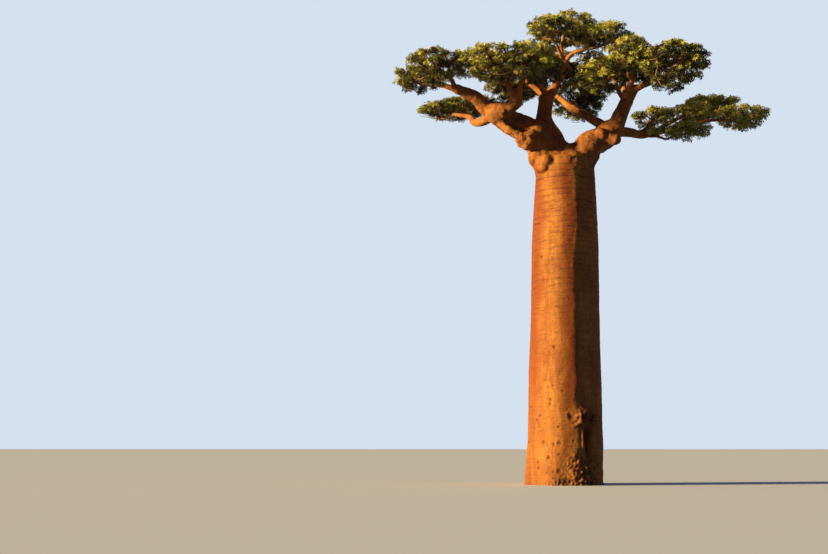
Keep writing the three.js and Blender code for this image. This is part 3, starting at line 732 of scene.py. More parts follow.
# The larger scars of the bark: heading, height, radius and depth.
SCARS = [
    (248, 3.75, 0.07, 0.03), (247, 3.55, 0.06, 0.03), (261, 2.55, 0.06, 0.025), (236, 1.88, 0.08, 0.03),
    (253, 1.8, 0.06, 0.025), (262, 1.84, 0.09, 0.025), (246, 1.2, 0.08, 0.035), (226, 1.0, 0.07, 0.03),
    (227, 0.75, 0.07, 0.03), (262, 0.62, 0.1, 0.03), (253, 6.05, 0.07, 0.03), (279, 3.0, 0.13, 0.045),
    (244, 4.3, 0.04, 0.02), (252, 4.35, 0.04, 0.02), (262, 1.35, 0.05, 0.02), (254, 0.6, 0.05, 0.02),
]
SCAR_COUNT = 60
SCAR_SEED = 5
LOWEST_SCAR = 0.3
SCARS_THIN_OUT = 3
SCAR_SIZES = (0.03, 0.07)
SCAR_DEPTHS = (0.01, 0.025)
# How much painted shade darkens the scars.
SCAR_SHADE = 0.8


def crease_relief(heights, angles):
    """Level creases, one above another, that wander and fade round the trunk."""
    total = np.zeros_like(heights)
    base = np.round(heights / CREASE_SPACING)
    for step in (-1, 0, 1):
        row = base + step
        phase = (row * 12.9898) % (2 * math.pi)
        shift = 0.4 * np.sin(row * 78.233) * CREASE_SPACING
        wander = sum(reach * np.sin(turns * angles + lag * phase) for turns, lag, reach in CREASE_WANDER)
        level = row * CREASE_SPACING + shift + wander
        round_trunk = np.stack([np.cos(angles) * 5 + 40, np.sin(angles) * 5 + 40, row * 3.7], axis=-1)
        present = ease(-0.35, 0.5, noise(round_trunk, 61))
        total = total + present * bell((heights - level) / CREASE_WIDTH)
    return total


def scar_rows():
    """The scars of the bark: the larger ones, and scattered ones that thin out upwards."""
    rng = np.random.default_rng(SCAR_SEED)
    rows = list(SCARS)
    for _ in range(SCAR_COUNT):
        heading, height = rng.uniform(0, 360), LOWEST_SCAR + rng.exponential(SCARS_THIN_OUT)
        rows.append((heading, height, rng.uniform(*SCAR_SIZES), rng.uniform(*SCAR_DEPTHS)))
    return [row for row in rows if row[1] < SEAM_HEIGHT - 1]


def ridge_relief(heights, angles):
    """How high the long ridges of the trunk stand, which fade at the head and the foot."""
    total = np.zeros_like(heights)
    for heading, width, height in RIDGES:
        wander = 0.05 * np.sin(heights * 0.55 + heading) + 0.03 * np.sin(heights * 1.3 + 2 * heading)
        round_about = np.stack([np.full_like(heights, heading), heights * 1.1, angles * 2 + 40], axis=-1)
        gap = heading_gap(angles, heading) + wander + 0.05 * noise(round_about, 171)
        tent = np.maximum(0, 1 - np.sqrt((gap / width) ** 2 + 0.02))
        total = total + height * tent**1.25
    return total * ease(14.2, 12.2, heights) * (0.45 + 0.55 * ease(0.2, 2, heights))


def facing(angles, heading, width):
    """1 where the trunk faces a heading, fading to 0 beside it."""
    return bell(heading_gap(angles, heading) / width)


def gnarled_foot(points, height, angle, radius):
    """The relief of the foot, and the painted shade in its hollows: gnarled wood, a patch of lumps, a cleft
    and a streak.
    """

    def window(heading, width, across_power, level, tall, up_power):
        across = heading_gap(angle, heading) * radius / width
        return np.exp(-(across**across_power) - ((height - level) / tall) ** up_power)

    gnarl = facing(angle, *GNARL) * ease(1.8, 0.9, height) + 0.4 * ease(0.4, 0.05, height)
    rough = np.abs(layered_noise(points * (6.6, 6.6, 5.2), 3, 101))
    lumps = np.abs(layered_noise(points * 5.5, 2, 111))
    patch = window(*LUMP_PATCH)
    cleft = window(CLEFT_HEADING, 0.14 + 0.14 * ease(1.2, 2.6, height), 4, *CLEFT_SPAN)
    relief = gnarl * (0.16 * rough - 0.075) + patch * (0.24 * lumps - 0.06) - cleft * CLEFT_DEPTH
    relief += window(*STREAK) * STREAK_HEIGHT
    relief -= FLANK_DEPTH * facing(angle, *FLANK) * ease(2, 0.2, height)
    relief -= UNDERCUT * ease(0.6, 0, height)
    # Painted shade in the cleft and in the low places of the gnarl and the lumps.
    dark = np.maximum(cleft, gnarl * ease(0.42, 0.1, rough))
    return relief, np.maximum(dark, np.minimum(1, patch * 1.3) * ease(0.62, 0.2, lumps))


def trunk_relief(points, height, angle, radius):
    """How far the bark of the trunk stands out, and the painted shade that darkens its creases, scars, seam
    and hollows.
    """
    relief = ridge_relief(height, angle)
    for stretch, octaves, seed, depth in TRUNK_LAYERS:
        relief = relief + layered_noise(points * stretch, octaves, seed) * depth
    crease = crease_relief(height, angle) * (0.25 + 0.75 * ease(6, 11.5, height))
    relief = relief - CREASE_DEPTH * crease
    # Painted shade darkens the creases.
    dark = crease * CREASE_SHADE
    ragged = 0.35 * noise(points * 9 + 11, 151)
    for heading, level, size, depth in scar_rows():
        sideways = heading_gap(angle, heading) * radius
        away = np.hypot(sideways, (height - level) * 0.9) / size + ragged
        relief -= depth * (bell(away, 4) - 0.2 * bell((away - 1.5) / 0.4))
        # Painted shade darkens the scars.
        dark = np.maximum(dark, SCAR_SHADE * bell(away, 4))
    foot_relief, foot_painted_shade = gnarled_foot(points, height, angle, radius)
    relief += foot_relief
    puckered = ease(14.3, 14.85, height) * facing(angle, 270, 0.5)
    relief += puckered * PUCKER_DEPTH * layered_noise(points * (5, 5, 2.2) + 60, 2, 121)
    # The seam is a crease darkened with painted shade.
    seam = bell((height - SEAM_HEIGHT) / CREASE_WIDTH)
    relief -= seam * SEAM_DEPTH
    return relief, np.maximum(np.maximum(dark, foot_painted_shade), seam * 0.5)


def trunk_piece(material):
    """The column of the trunk, with ridges, level creases, scars and a gnarled foot."""
    heights = np.append(np.arange(0, SEAM_HEIGHT - 0.01, RING_STEP), SEAM_HEIGHT)
    angles = np.linspace(0, 2 * math.pi, TRUNK_SIDES, endpoint=False)
    height, angle = np.meshgrid(heights, angles, indexing="ij")
    radius = trunk_radius(height, angle)
    out = np.stack([np.cos(angle), np.sin(angle), np.zeros_like(angle)], axis=-1)
    points = trunk_centre(height) + out * radius[..., None]
    relief, dark = trunk_relief(points, height, angle, radius)
    points = (points + out * relief[..., None]).reshape(-1, 3)
    faces = ring_quads(np.arange(len(heights) - 1) * TRUNK_SIDES, TRUNK_SIDES)
    made = mesh_object("trunk_bark", points, [faces], [material])
    write_values(made.data, hollow=dark, ruddy=ruddiness_and_band_shade(points), level=np.ones(dark.size))
    close_ends(made.data)
    return made


def close_ends(mesh):
    """Closes the flat foot and the hidden top of the trunk."""
    work = bmesh.new()
    work.from_mesh(mesh)
    open_edges = [edge for edge in work.edges if edge.is_boundary]
    bmesh.ops.holes_fill(work, edges=open_edges, sides=0)
    bmesh.ops.recalc_face_normals(work, faces=work.faces)
    work.to_mesh(mesh)
    work.free()


def ruddiness_and_band_shade(points):
    """Where the bark is redder: down the far left side, and in the band right of the first ridge, whose
    redder colour is painted shade of the half-lit side.
    """
    angles = around_trunk(points)[0]
    wander = 0.12 * noise(points * 0.8, 131)
    left = ease(0.85, 0.35, np.abs(heading_gap(angles, RED_SIDE) + wander))
    # The band is painted shade of the half-lit side.
    band = bell((heading_gap(angles, SHADE_BAND_HEADING) + wander) / 0.2)
    left = left * (0.4 + 0.6 * ease(1, 7, points[:, 2]))
    band = band * ease(0.5, 5, points[:, 2])
    return np.maximum(left, band) * ease(15.2, 14, points[:, 2])


def head_pieces(limbs, material):
    """The head of the trunk with every bough and branch, grown together, in a left and a right piece."""
    skin = head_mesh(limbs)
    points, near, roll = pull_to_wood(read_vectors(skin.vertices, "co"), list(limbs.values()))
    write_points(skin, points)
    normals = read_vectors(skin.vertex_normals, "vector")
    relief, dark = limb_relief(points, *near)
    angles, radius, _ = around_trunk(points)
    on_trunk, trunk_painted_shade = trunk_relief(points, points[:, 2], angles, radius)
    level = ease(15.1, 14.3, points[:, 2])
    relief = relief * (1 - level) * (1 - 0.6 * near_fork(points)) + on_trunk * level
    dark = mixed(dark, trunk_painted_shade, level)
    for place, size, height in BUMPS:
        relief += height * bell(norms(points - place) / size)
    # Painted shade in the creases where the rolls meet the wood.
    dark = np.maximum(dark, 0.6 * bell(roll / 0.04) * ease(0.5, 0.25, np.abs(roll)))
    # Painted shade darkens the bark under the fork and inside the left bough.
    for place, size, depth in FORK_SHADE_PATCHES:
        away = (((points - place) / size) ** 2).sum(axis=1)
        dark = np.maximum(dark, depth * bell(away) * (0.8 + 0.3 * noise(points * 2.3, 141)))
    seam = points[:, 2] < SEAM_HEIGHT + 0.001
    normals[seam, 2] = 0
    write_points(skin, points + unit(normals) * relief[:, None])
    write_values(skin, hollow=dark, ruddy=ruddiness_and_band_shade(points), level=level)
    skin.polygons.foreach_set("use_smooth", np.full(len(skin.polygons), True))
    skin.materials.clear()
    skin.materials.append(material)
    kept = skin.attributes.new("full_normal", "FLOAT_VECTOR", "POINT")
    kept.data.foreach_set("vector", read_vectors(skin.vertex_normals, "vector").astype(np.float32).ravel())
    return [half_of(skin, "boughs_left", True), half_of(skin, "boughs_right", False)]


def near_fork(points):
    """1 in the smooth hollow under the fork, fading to 0 round it."""
    return np.exp(-(((points - FORK_HOLLOW) / FORK_HOLLOW_SIZE) ** 2).sum(axis=1))


def half_of(skin, name, left):
    """The part of the skin on one side of the fork, shaded as if it were still whole."""
    work = bmesh.new()
    work.from_mesh(skin)
    beyond = [face for face in work.faces if (face.calc_center_median().x < FORK_X) != left]
    bmesh.ops.delete(work, geom=beyond, context="FACES")
    mesh = bpy.data.meshes.new(name)
    work.to_mesh(mesh)
    work.free()
    mesh.materials.append(skin.materials[0])
    normals = read_vectors(mesh.attributes["full_normal"].data, "vector")
    mesh.attributes.remove(mesh.attributes["full_normal"])
    mesh.normals_split_custom_set_from_vertices([tuple(normal) for normal in normals])
    return linked(name, mesh)


# The crown: pads of twigs and leaves

TUFT_SPACING = 0.45
TUFT_TRIES = 1500
TUFT_SIZES = (0.12, 0.24)
TUFT_FLATNESS = 0.7
TUFT_HUB_BELOW = 0.16
TUFT_GAPS = -0.36
ROSETTE_SPACING = 0.135
ROSETTE_TRIES = 24
ROSETTE_INSET = 0.1
LOWEST_LEAVES = -0.35
ROSETTE_LIMB_MARGIN = 0.15
AXIS_POINTS = 12
HUB_POINT = 8
BARE_POINTS = 4
TURN_COST = 0.9
RUN_COST = 0.22
BARRED = 9
SHORTEST_TWIG = 0.1
TWIG_SAG = 0.04
FIRST_TWIG_SIDES = (6, 4, 4, 4, 4)
TWIG_TIP_RADIUS = 0.011
TWIG_THICKENING = 2.2
LEAVES_IN_ROSETTE = 6
PETIOLE = 0.1
STALK_WIDTH = 0.008
LEAF_RADIUS = 0.155
LEAFLET_ANGLES = [-118, -78, -38, 0, 38, 78, 118]
LEAFLET_LENGTHS = [0.62, 0.82, 0.96, 1, 0.96, 0.82, 0.62]
LEAFLET_WIDTH = 0.3
LEAFLET_WIDEST = 0.58
LEAFLET_FOLD = 0.07
LEAFLET_DROOP = 0.26
LEAF_SHAPES = 4
# Where each rosette's painted light and shade steps on to the next leaf colour.
LEAF_LEVELS = [-0.26, -0.02, 0.18, 0.38, 0.62]


class Pad:
    """One foliage pad: its space, its stem and axis, and its side twigs."""

    def __init__(self, row, index, limbs):
        name, self.group, (self.long, self.wide, self.high), self.spread, self.light = row
        limb = limbs.get(f"branch_{name}") or limbs[f"bough_{name}"]
        self.name = f"foliage_{name}"
        self.tip = limb.curve.at(1)[0]
        self.leaving = limb.curve.tangent(1)
        self.stem = limb.tip
        self.seed = FIRST_PAD_SEED + PAD_SEED_STEP * index
        self.ahead = unit(self.leaving * (1, 1, 0))
        self.side = np.array([-self.ahead[1], self.ahead[0], 0])
        self.slope = math.hypot(self.leaving[0], self.leaving[1])
        self.centre = self.tip + self.ahead * self.long * PAD_FORWARD * self.slope
        self.centre = self.centre + UP * (self.high * PAD_LIFT + self.high * PAD_FORWARD * (1 - self.slope))

    def place(self, x, y, z):
        return self.centre + self.ahead * x * self.long + self.side * y * self.wide + UP * z * self.high

    def shares(self, points, inset=0):
        offset = points - self.centre
        sizes = (self.long - inset, self.wide - inset, self.high - inset)
        ways = (self.ahead, self.side, UP)
        return np.stack([offset @ way / size for way, size in zip(ways, sizes)], axis=-1)

    def depth(self, points, inset=0):
        return norms(self.shares(points, inset))

    def first_twigs(self):
        """The stem with its axis, and the side twigs, each as a line of points."""
        random = random_from(self.seed)
        hub = self.place(HUB_AHEAD * self.slope, 0, HUB_UP)
        bend = self.tip + self.leaving * np.linalg.norm(hub - self.tip) * STEM_BEND
        axis = np.array([self.tip, bend, hub, self.place(AXIS_END_AHEAD, 0, 0)])
        lines = [Curve(axis).at(np.linspace(0, 1, AXIS_POINTS))]
        for k, (at, turn, height) in enumerate(PAD_TWIGS):
            hand = 1 if k % 2 == 0 else -1
            angle = math.radians(turn + TWIG_SWING * (next(random) - 0.5))
            reach = TWIG_REACH * (1 + TWIG_REACH_SPREAD * (next(random) - 0.5))
            root = lines[0][round(at * (AXIS_POINTS - 1))]
            end = self.place(math.cos(angle) * reach, math.sin(angle) * reach * hand, height)
            sag = (root + end) / 2 - UP * 0.12 * np.linalg.norm(end - root)
            lines.append(Curve([root, sag, end]).at(np.linspace(0, 1, 7)))
        return lines


def limb_spheres(limbs):
    """Points along every limb, and the limbs' radii there."""
    lines, radii, _ = zip(*(limb.samples(LIMB_SAMPLE_STEP) for limb in limbs.values()))
    return np.concatenate(lines), np.concatenate(radii)


def spaced(points, gap):
    """The points that are left when each must keep a gap from those before it."""
    chosen = []
    for number, point in enumerate(points):
        if not chosen or norms(points[chosen] - point).min() > gap:
            chosen.append(number)
    return chosen


def tuft_places(pad, rng):
    """The middles of a pad's tufts of leaves, chosen from the top down."""
    way = unit(rng.normal(size=(TUFT_TRIES, 3)))
    shares = way * rng.uniform(0, 1, (TUFT_TRIES, 1)) ** (1 / 3)
    outer = shares[:, 2] + 0.6 * norms(shares)
    shares = shares[np.argsort(-outer + 0.4 * rng.uniform(size=TUFT_TRIES))]
    across, down, up = pad.spread
    spread = np.where(shares[:, 2:] > 0, (across, across, up), (across, across, down))
    points = pad.place(*(shares * spread).T[:, :, None])
    points = points[noise(points * 1.05, 181) > TUFT_GAPS]
    return points[spaced(points, TUFT_SPACING)]


def rosette_places(pad, tufts, pads, spheres, rng):
    """Where a pad's rosettes of leaves sit, over the top and sides of its tufts, and how high up."""
    count = (len(tufts), ROSETTE_TRIES)
    way = unit(rng.normal(size=(*count, 3)))
    way[..., 2] = np.where(way[..., 2] < LOWEST_LEAVES, -way[..., 2], way[..., 2])
    size = rng.uniform(*TUFT_SIZES, (len(tufts), 1, 1)) * rng.uniform(0.72, 1.1, (*count, 1))
    points = (tufts[:, None] + way * size * (1, 1, TUFT_FLATNESS)).reshape(-1, 3)
    lifts = way[..., 2].ravel()
    own = pad.depth(points)
    keep = pad.depth(points, ROSETTE_INSET) < 1 + 0.1 * noise(points * 1.7, 191)
    for other in pads:
        if other is not pad:
            keep &= other.depth(points) > own + SPACE_MARGIN
    centres, radii = spheres
    gap = norms(points[:, None] - centres[None]) - radii
    keep &= gap.min(axis=1) > ROSETTE_LIMB_MARGIN
    points, lifts = points[keep], lifts[keep]
    chosen = spaced(points, ROSETTE_SPACING)
    return points[chosen], lifts[chosen]


class Twigs:
    """What has grown in a pad so far: its points, their directions, and how each hangs together."""

    def __init__(self, pad):
        self.points, self.ways, self.runs = np.empty((0, 3)), np.empty((0, 3)), np.empty(0)
        self.parents, self.lines, self.shoots = [], [], []
        self.stem = pad.stem
        for line in pad.first_twigs():
            gaps = norms(self.points[:AXIS_POINTS] - line[0])
            root = int(np.argmin(gaps)) if self.lines else -1
            self.lines.append(self.add(root, line, unit(np.gradient(line, axis=0))))

    def add(self, root, line, ways):
        """Adds the points of a line that grows on from the point root, and gives their numbers."""
        first = len(self.points)
        start, run = (self.points[root], self.runs[root]) if first else (line[0], 0)
        steps = norms(np.diff([start, *line], axis=0))
        self.runs = np.append(self.runs, run + np.cumsum(steps))
        self.points = np.vstack([self.points, line])
        self.ways = np.vstack([self.ways, ways])
        numbers = list(range(first, len(self.points)))
        self.parents += [root, *numbers[:-1]]
        return numbers

    def shoot(self, place):
        """Grows a twig to place from the nearest fitting point, and gives its tip's number."""
        offset = place - self.points
        distance = norms(offset)
        turn = 1 - (offset * self.ways).sum(axis=1) / np.maximum(distance, 1e-6)
        cost = distance * (1 + TURN_COST * turn) + RUN_COST * self.runs
        cost = cost + np.where(distance < SHORTEST_TWIG, BARRED, 0)
        cost[:BARE_POINTS] += BARRED
        best = int(np.argmin(cost))
        root, reach = self.points[best], distance[best]
        middle = root + self.ways[best] * 0.3 * reach + (place - root) * 0.3 - UP * TWIG_SAG * reach
        ways = unit(np.array([place - root, place - middle]))
        self.shoots.append([best, *self.add(best, [middle, place], ways)])
        return self.shoots[-1][-1]

    def grow(self, places):
        """Grows twigs to places, those nearest the hub first, and gives the tips in the places' order."""
        tips = np.empty(len(places), int)
        for number in np.argsort(norms(places - self.points[HUB_POINT])):
            tips[number] = self.shoot(places[number])
        return tips

    def radii(self, tips):
        """Each point's thickness, from how many of the leafy tips it carries."""
        carried = np.zeros(len(self.points))
        carried[tips] = 1
        for point in range(len(self.points) - 1, 0, -1):
            if self.parents[point] >= 0:
                carried[self.parents[point]] += carried[point]
        radii = TWIG_TIP_RADIUS * np.maximum(carried, 1) ** (1 / TWIG_THICKENING)
        return np.minimum(radii, self.stem * 0.97)


def twig_tubes(lines, radii, sides):
    """Tapering tubes along many lines of the same number of points, all at once."""
    tangents = unit(np.gradient(lines, axis=1))
    spare = np.where(np.abs(tangents[:, :1, 2:]) < 0.9, UP, LEVEL)
    across = unit(np.cross(tangents, np.broadcast_to(spare, tangents.shape)))
    along = np.cross(tangents, across)
    cosines, sines = circle(sides)
    ring = cosines * across[:, :, None] + sines * along[:, :, None]
    corners = lines[:, :, None] + ring * radii[:, :, None, None]
    starts = np.arange(radii.size).reshape(radii.shape) * sides
    quads = ring_quads(starts[:, :-1], sides)
    caps = [starts[:, -1:] + (0, k, k + 1) for k in range(1, sides - 1)]
    return corners.reshape(-1, 3), [quads[:, [0, 1, 2]], quads[:, [0, 2, 3]], *caps]


def leaf_shapes(rng):
    """Some hand-shaped leaves, each flat on X and Y with its stalk at the middle, of folded leaflets."""
    shapes = []
    for _ in range(LEAF_SHAPES):
        corners = []
        for angle, length in zip(LEAFLET_ANGLES, LEAFLET_LENGTHS):
            turn = math.radians(angle + rng.uniform(-9, 9))
            length = length * rng.uniform(0.86, 1.08)
            droop = LEAFLET_DROOP * rng.uniform(0.2, 1.8)
            out, side = level_ways(turn)
            wide = (out * LEAFLET_WIDEST + UP * (LEAFLET_FOLD - 0.3 * droop)) * length
            half = side * LEAFLET_WIDTH * length / 2
            corners += [out * 0.04, wide - half, (out - UP * droop) * length, wide + half]
        shapes.append(corners)
    base = np.arange(len(LEAFLET_ANGLES))[:, None] * 4
    return np.array(shapes), np.concatenate([base + (0, 1, 2), base + (0, 2, 3)])


def grow_leaves(tips, tip_ways, colours, rng):
    """Rosettes of leaves at twig tips: corners, blocks of triangles, and each triangle's colour."""
    shapes, shape_faces = leaf_shapes(rng)
    count = len(tips)
    axis = unit(tip_ways * 0.5 + UP * 0.7 + rng.normal(size=(count, 3)) * 0.25)
    spare = unit(np.cross(axis, rng.normal(size=(count, 3))))
    other = np.cross(axis, spare)
    each = shapes.shape[1] + 3
    one = np.concatenate([shape_faces, [[each - 3, each - 2, each - 1]]])
    corners, faces, slots = [], [], []
    for leaf in range(LEAVES_IN_ROSETTE):
        turn = 2 * math.pi * (leaf + rng.uniform(-0.3, 0.3, count)) / LEAVES_IN_ROSETTE
        lean = np.radians(rng.uniform(28, 72, count) if leaf % 2 else rng.uniform(62, 108, count))
        flat = np.cos(turn)[:, None] * spare + np.sin(turn)[:, None] * other
        out = np.cos(lean)[:, None] * axis + np.sin(lean)[:, None] * flat
        size = LEAF_RADIUS * rng.uniform(0.75, 1.2, count)
        hub = tips + out * (PETIOLE * rng.uniform(0.7, 1.3, count))[:, None]
        face = unit(axis * 0.5 + out * 0.35 + UP * 0.15 + rng.normal(size=(count, 3)) * 0.45)
        forward = unit(out - face * (out * face).sum(axis=1)[:, None])
        left = np.cross(face, forward)
        basis = np.stack([forward, left, face], axis=1) * size[:, None, None]
        shape = shapes[rng.integers(LEAF_SHAPES, size=count)]
        placed = hub[:, None] + np.einsum("nvk,nkc->nvc", shape, basis)
        stalk = np.stack([tips + left * STALK_WIDTH, tips - left * STALK_WIDTH, hub], axis=1)
        corners.append(np.concatenate([placed, stalk], axis=1).reshape(-1, 3))
        starts = (leaf * count + np.arange(count))[:, None, None] * each
        faces.append((starts + one).reshape(-1, 3))
        slots.append(np.repeat(colours, len(one)))
    return np.concatenate(corners), faces, np.concatenate(slots)


def leaf_colours(pad, places, lifts, rng):
    """Each rosette's colour: painted light on top of its tuft and pad, painted shade underneath and inside,
    and patchy and random changes of tone.
    """
    light = 0.55 * lifts + 0.4 * pad.shares(places)[:, 2]
    light = light + 0.4 * noise(places * 0.8, 161) + rng.normal(size=len(places)) * 0.2
    # The pad's painted light shifts its leaves' colours up or down.
    return np.searchsorted(LEAF_LEVELS, light + pad.light)


def crown_pieces(limbs, leaf_materials, twig_bark):
    """The leaves and the twigs of each group of pads, as one piece of each kind."""
    pads = [Pad(row, index, limbs) for index, row in enumerate(PAD_ROWS)]
    spheres = limb_spheres(limbs)
    for group in dict.fromkeys(pad.group for pad in pads):
        members = [pad for pad in pads if pad.group == group]
        names = [pad.name for pad in members]
        twig_parts, leaf_parts, slot_parts = [], [], []
        for pad in members:
            rng = np.random.default_rng(pad.seed)
            tufts = tuft_places(pad, rng)
            rosettes, lifts = rosette_places(pad, tufts, pads, spheres, rng)
            twigs = Twigs(pad)
            twigs.grow(tufts - UP * TUFT_HUB_BELOW)
            tips = twigs.grow(rosettes)
            radii = twigs.radii(tips)
            for line, sides in zip(twigs.lines, FIRST_TWIG_SIDES):
                twig_parts.append(twig_tubes(twigs.points[None, line], radii[None, line], sides))
            girths = radii[twigs.shoots]
            girths[:, 0] = girths[:, :2].min(axis=1)
            twig_parts.append(twig_tubes(twigs.points[twigs.shoots], girths, 3))
            colours = leaf_colours(pad, rosettes, lifts, rng)
            corners, faces, slots = grow_leaves(rosettes, twigs.ways[tips], colours, rng)
            leaf_parts.append((corners, faces))
            slot_parts.append(slots)
        slots = np.concatenate(slot_parts)
        leaves = mesh_object(f"leaves_{group}", *stacked(leaf_parts), leaf_materials, slots)
        twigs = mesh_object(f"twigs_{group}", *stacked(twig_parts), [twig_bark])
        for piece, slot in ((leaves, "leaves"), (twigs, "bough_bark")):
            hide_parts(*names)
            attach(piece, "root")


# Materials


def new_material(name, roughness):
    """A new material, and its shader."""
    material = bpy.data.materials.new(name)
    material.use_nodes = True
    shader = material.node_tree.nodes["Principled BSDF"]
    shader.inputs["Roughness"].default_value = roughness
    return material, shader


# The leaves' colour in shaded and lit copies: painted shade in the darkest, painted light in the lightest,
# with the leaves' own olive and green tones between.
LEAF_COLOURS = {
    "leaf_deep_shade": (0.02, 0.023, 0.007),
    "leaf_dark_shade": (0.078, 0.078, 0.016),
    "leaf_green": (0.22, 0.21, 0.032),
    "leaf_olive": (0.41, 0.385, 0.05),
    "leaf_moss_lit": (0.61, 0.55, 0.075),
    "leaf_gold_lit": (0.77, 0.66, 0.11),
}


def leaf_material(name, colour):
    """One plain colour of the leaves, one of their lit and shaded copies."""
    material, shader = new_material(name, 0.6)
    shader.inputs["Base Color"].default_value = (*colour, 1)
    shader.inputs["Specular IOR Level"].default_value = 0.3
    return material


class Nodes:
    """A short way to add and link the nodes of a material."""

    def __init__(self, tree):
        self.tree = tree

    def put(self, socket, value):
        if isinstance(value, bpy.types.NodeSocket):
            self.tree.links.new(value, socket)
        else:
            socket.default_value = value

    def add(self, kind, inputs, **settings):
        node = self.tree.nodes.new(kind)
        for name, value in settings.items():
            setattr(node, name, value)
        for name, value in inputs.items():
            self.put(node.inputs[name], value)
        return node

    def noise(self, place, stretch, scale, detail):
        mapping = self.add("ShaderNodeMapping", {"Vector": place, "Scale": stretch})
        inputs = {"Vector": mapping.outputs[0], "Scale": scale, "Detail": detail, "Roughness": 0.6}
        return self.add("ShaderNodeTexNoise", inputs).outputs["Fac"]

    def spread(self, value, low, high, top=1.0):
        """Maps value so that low gives 0 and high gives top."""
        inputs = {"Value": value, "From Min": low, "From Max": high, "To Max": top}
        return self.add("ShaderNodeMapRange", inputs).outputs["Result"]

    def mix(self, share, first, second):
        return self.add("ShaderNodeMix", {0: share, 6: first, 7: second}, data_type="RGBA").outputs[2]

    def maths(self, operation, first, second):
        return self.add("ShaderNodeMath", {0: first, 1: second}, operation=operation).outputs[0]

    def attribute(self, name):
        return self.add("ShaderNodeAttribute", {}, attribute_name=name).outputs["Fac"]


BARK_PALE = (0.7, 0.32, 0.06, 1)
BARK_WARM = (0.56, 0.2, 0.026, 1)
BARK_RED = (0.36, 0.1, 0.018, 1)
BARK_RUDDY_AND_SHADE = (0.27, 0.05, 0.006, 1)
BARK_BROWN = (0.16, 0.05, 0.014, 1)
# The near black of painted shade in the bark's creases and hollows.
BARK_PAINTED_SHADE = (0.03, 0.012, 0.008, 1)

# The bark's clouds, streaks, level grain, fine spots and coarse spots: stretch, scale and detail.
BARK_LAYERS = [
    ((0.55, 0.55, 0.3), 1.7, 5), ((1, 1, 0.2), 6, 4), ((0.5, 0.5, 4.2), 4, 5),
    ((1, 1, 1.4), 26, 3), ((1, 1, 1.3), 8, 4),
]


def bark_material(name):
    """Reddish bark: cloudy tints, pale streaks, a redder left side, a redder band of painted shade, level
    grain, spots, pits darkened with painted shade, and painted shade in the creases and hollows.
    """
    material, shader = new_material(name, 0.8)
    shader.inputs["Specular IOR Level"].default_value = 0.25
    nodes = Nodes(material.node_tree)
    place = nodes.add("ShaderNodeTexCoord", {}).outputs["Object"]
    clouds, streaks, grain, fine, coarse = (nodes.noise(place, *layer) for layer in BARK_LAYERS)
    level = nodes.attribute("level")
    colour = nodes.mix(nodes.spread(clouds, 0.36, 0.66), BARK_RED, BARK_WARM)
    colour = nodes.mix(nodes.spread(streaks, 0.48, 0.78, 0.6), colour, BARK_PALE)
    # Redder down the far left side, and a redder band of painted shade on the half-lit side right of the
    # first ridge.
    colour = nodes.mix(nodes.maths("MULTIPLY", nodes.attribute("ruddy"), 0.9), colour, BARK_RUDDY_AND_SHADE)
    lines = nodes.maths("MULTIPLY", nodes.spread(grain, 0.52, 0.72, 0.5), level)
    colour = nodes.mix(lines, colour, BARK_BROWN)
    for spots, low, high, strength in ((coarse, 0.54, 0.7, 0.45), (fine, 0.56, 0.74, 0.42)):
        colour = nodes.mix(nodes.spread(spots, low, high, strength), colour, BARK_BROWN)
    # Pits: small dents in the bump, darkened with painted shade.
    cells = nodes.add("ShaderNodeTexVoronoi", {"Vector": place, "Scale": 5.5, "Randomness": 1})
    size = nodes.maths("MULTIPLY", cells.outputs["Color"], 0.16)
    pit = nodes.spread(nodes.maths("SUBTRACT", size, cells.outputs["Distance"]), -0.02, 0.04)
    colour = nodes.mix(nodes.maths("MULTIPLY", pit, 0.5), colour, BARK_BROWN)
    # Painted shade of the creases, scars, hollows and fork, darkened towards near black.
    colour = nodes.mix(nodes.maths("MULTIPLY", nodes.attribute("hollow"), 0.85), colour, BARK_PAINTED_SHADE)
    nodes.put(shader.inputs["Base Color"], colour)
    height = nodes.maths("MULTIPLY", nodes.maths("MULTIPLY", grain, level), 0.8)
    for sign, part, strength in (("ADD", fine, 0.5), ("SUBTRACT", coarse, 0.7), ("SUBTRACT", pit, 0.7)):
        height = nodes.maths(sign, height, nodes.maths("MULTIPLY", part, strength))
    bump = nodes.add("ShaderNodeBump", {"Height": height, "Strength": 0.6, "Distance": 0.03})
    nodes.put(shader.inputs["Normal"], bump.outputs[0])
    return material


TWIG_PALE = (0.5, 0.26, 0.1, 1)
TWIG_DARK = (0.24, 0.1, 0.04, 1)


def twig_material():
    """The pale, mottled bark of the twigs."""
    material, shader = new_material("twig_bark", 0.8)
    nodes = Nodes(material.node_tree)
    place = nodes.add("ShaderNodeTexCoord", {}).outputs["Object"]
    shade = nodes.noise(place, (1, 1, 1), 3, 3)
    nodes.put(shader.inputs["Base Color"], nodes.mix(nodes.spread(shade, 0.35, 0.65), TWIG_DARK, TWIG_PALE))
    return material


# Camera and studio

CAMERA_PLACE = (0, -53, 1.6)
CAMERA_TURN = 7.366
CAMERA_TILT = 8.485
LENS = 50
FARTHEST_SEEN = 4000
SUN_HEADING = 200
SUN_HEIGHT = 11.5
SUN_STRENGTH = 8.3
SUN_SPREAD = 5
SUN_COLOUR = (1, 0.8, 0.44)
SKY_COLOUR = (0.5, 0.6, 1, 1)
SKY_STRENGTH = 0.15
BACKDROP_COLOUR = (0.66, 0.75, 0.86, 1)
FLOOR_COLOUR = (0.86, 0.86, 0.86, 1)
FLOOR_SIZE = 3000


def set_camera():
    """The photo's view: from a standing viewer's eye, tilted up."""
    camera = bpy.data.cameras.new("camera")
    camera.lens = LENS
    camera.clip_end = FARTHEST_SEEN
    holder = linked("camera", camera)
    holder.location = CAMERA_PLACE
    holder.rotation_euler = (math.radians(90 + CAMERA_TILT), 0, math.radians(CAMERA_TURN))
    bpy.context.scene.camera = holder


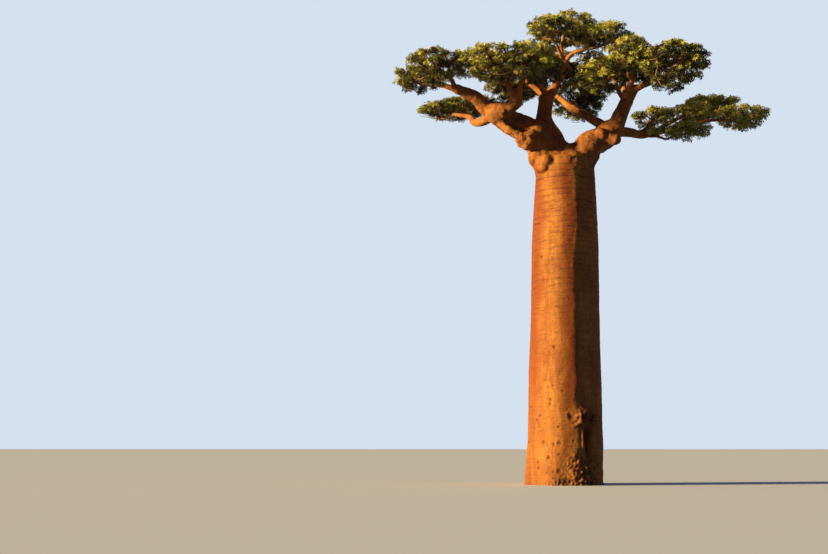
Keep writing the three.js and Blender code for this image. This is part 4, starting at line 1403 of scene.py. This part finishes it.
def set_lights():
    """A low warm key from the left and a faint cool fill, before a plain pale backdrop."""
    key = bpy.data.lights.new("key", "SUN")
    key.energy = SUN_STRENGTH
    key.angle = math.radians(SUN_SPREAD)
    key.color = SUN_COLOUR
    turn = (math.radians(90 - SUN_HEIGHT), 0, math.radians(SUN_HEADING + 90))
    linked("key", key).rotation_euler = turn
    world = bpy.data.worlds.new("studio")
    world.use_nodes = True
    nodes = Nodes(world.node_tree)
    fill = world.node_tree.nodes["Background"]
    fill.inputs["Color"].default_value = SKY_COLOUR
    fill.inputs["Strength"].default_value = SKY_STRENGTH
    backdrop = nodes.add("ShaderNodeBackground", {"Color": BACKDROP_COLOUR, "Strength": 1})
    seen = nodes.add("ShaderNodeLightPath", {}).outputs["Is Camera Ray"]
    both = nodes.add("ShaderNodeMixShader", {0: seen, 1: fill.outputs[0], 2: backdrop.outputs[0]})
    nodes.put(world.node_tree.nodes["World Output"].inputs["Surface"], both.outputs[0])
    bpy.context.scene.world = world
    bpy.context.scene.view_settings.view_transform = "Standard"


def set_floor():
    """A plain pale floor to the horizon."""
    corners = [(x * FLOOR_SIZE, y * FLOOR_SIZE, 0) for x, y in ((-1, -1), (1, -1), (1, 1), (-1, 1))]
    mesh = bpy.data.meshes.new("floor")
    mesh.from_pydata(corners, [], [(0, 1, 2, 3)])
    material, shader = new_material("floor", 1)
    shader.inputs["Base Color"].default_value = FLOOR_COLOUR
    shader.inputs["Specular IOR Level"].default_value = 0
    mesh.materials.append(material)
    floor = linked("floor", mesh)
    floor.visible_diffuse = False


# The whole tree


def build():
    """Makes the studio and the tree, and hides the parts that its pieces stand in for."""
    set_camera()
    set_lights()
    set_floor()
    limbs = grow_limbs()
    bark = bark_material("bark")
    trunk = trunk_piece(bark)
    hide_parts("trunk")
    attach(trunk, "root")
    for piece in head_pieces(limbs, bark):
        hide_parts(*limbs)
        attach(piece, "root")
    leaf_materials = [leaf_material(name, colour) for name, colour in LEAF_COLOURS.items()]
    crown_pieces(limbs, leaf_materials, twig_material())


build()
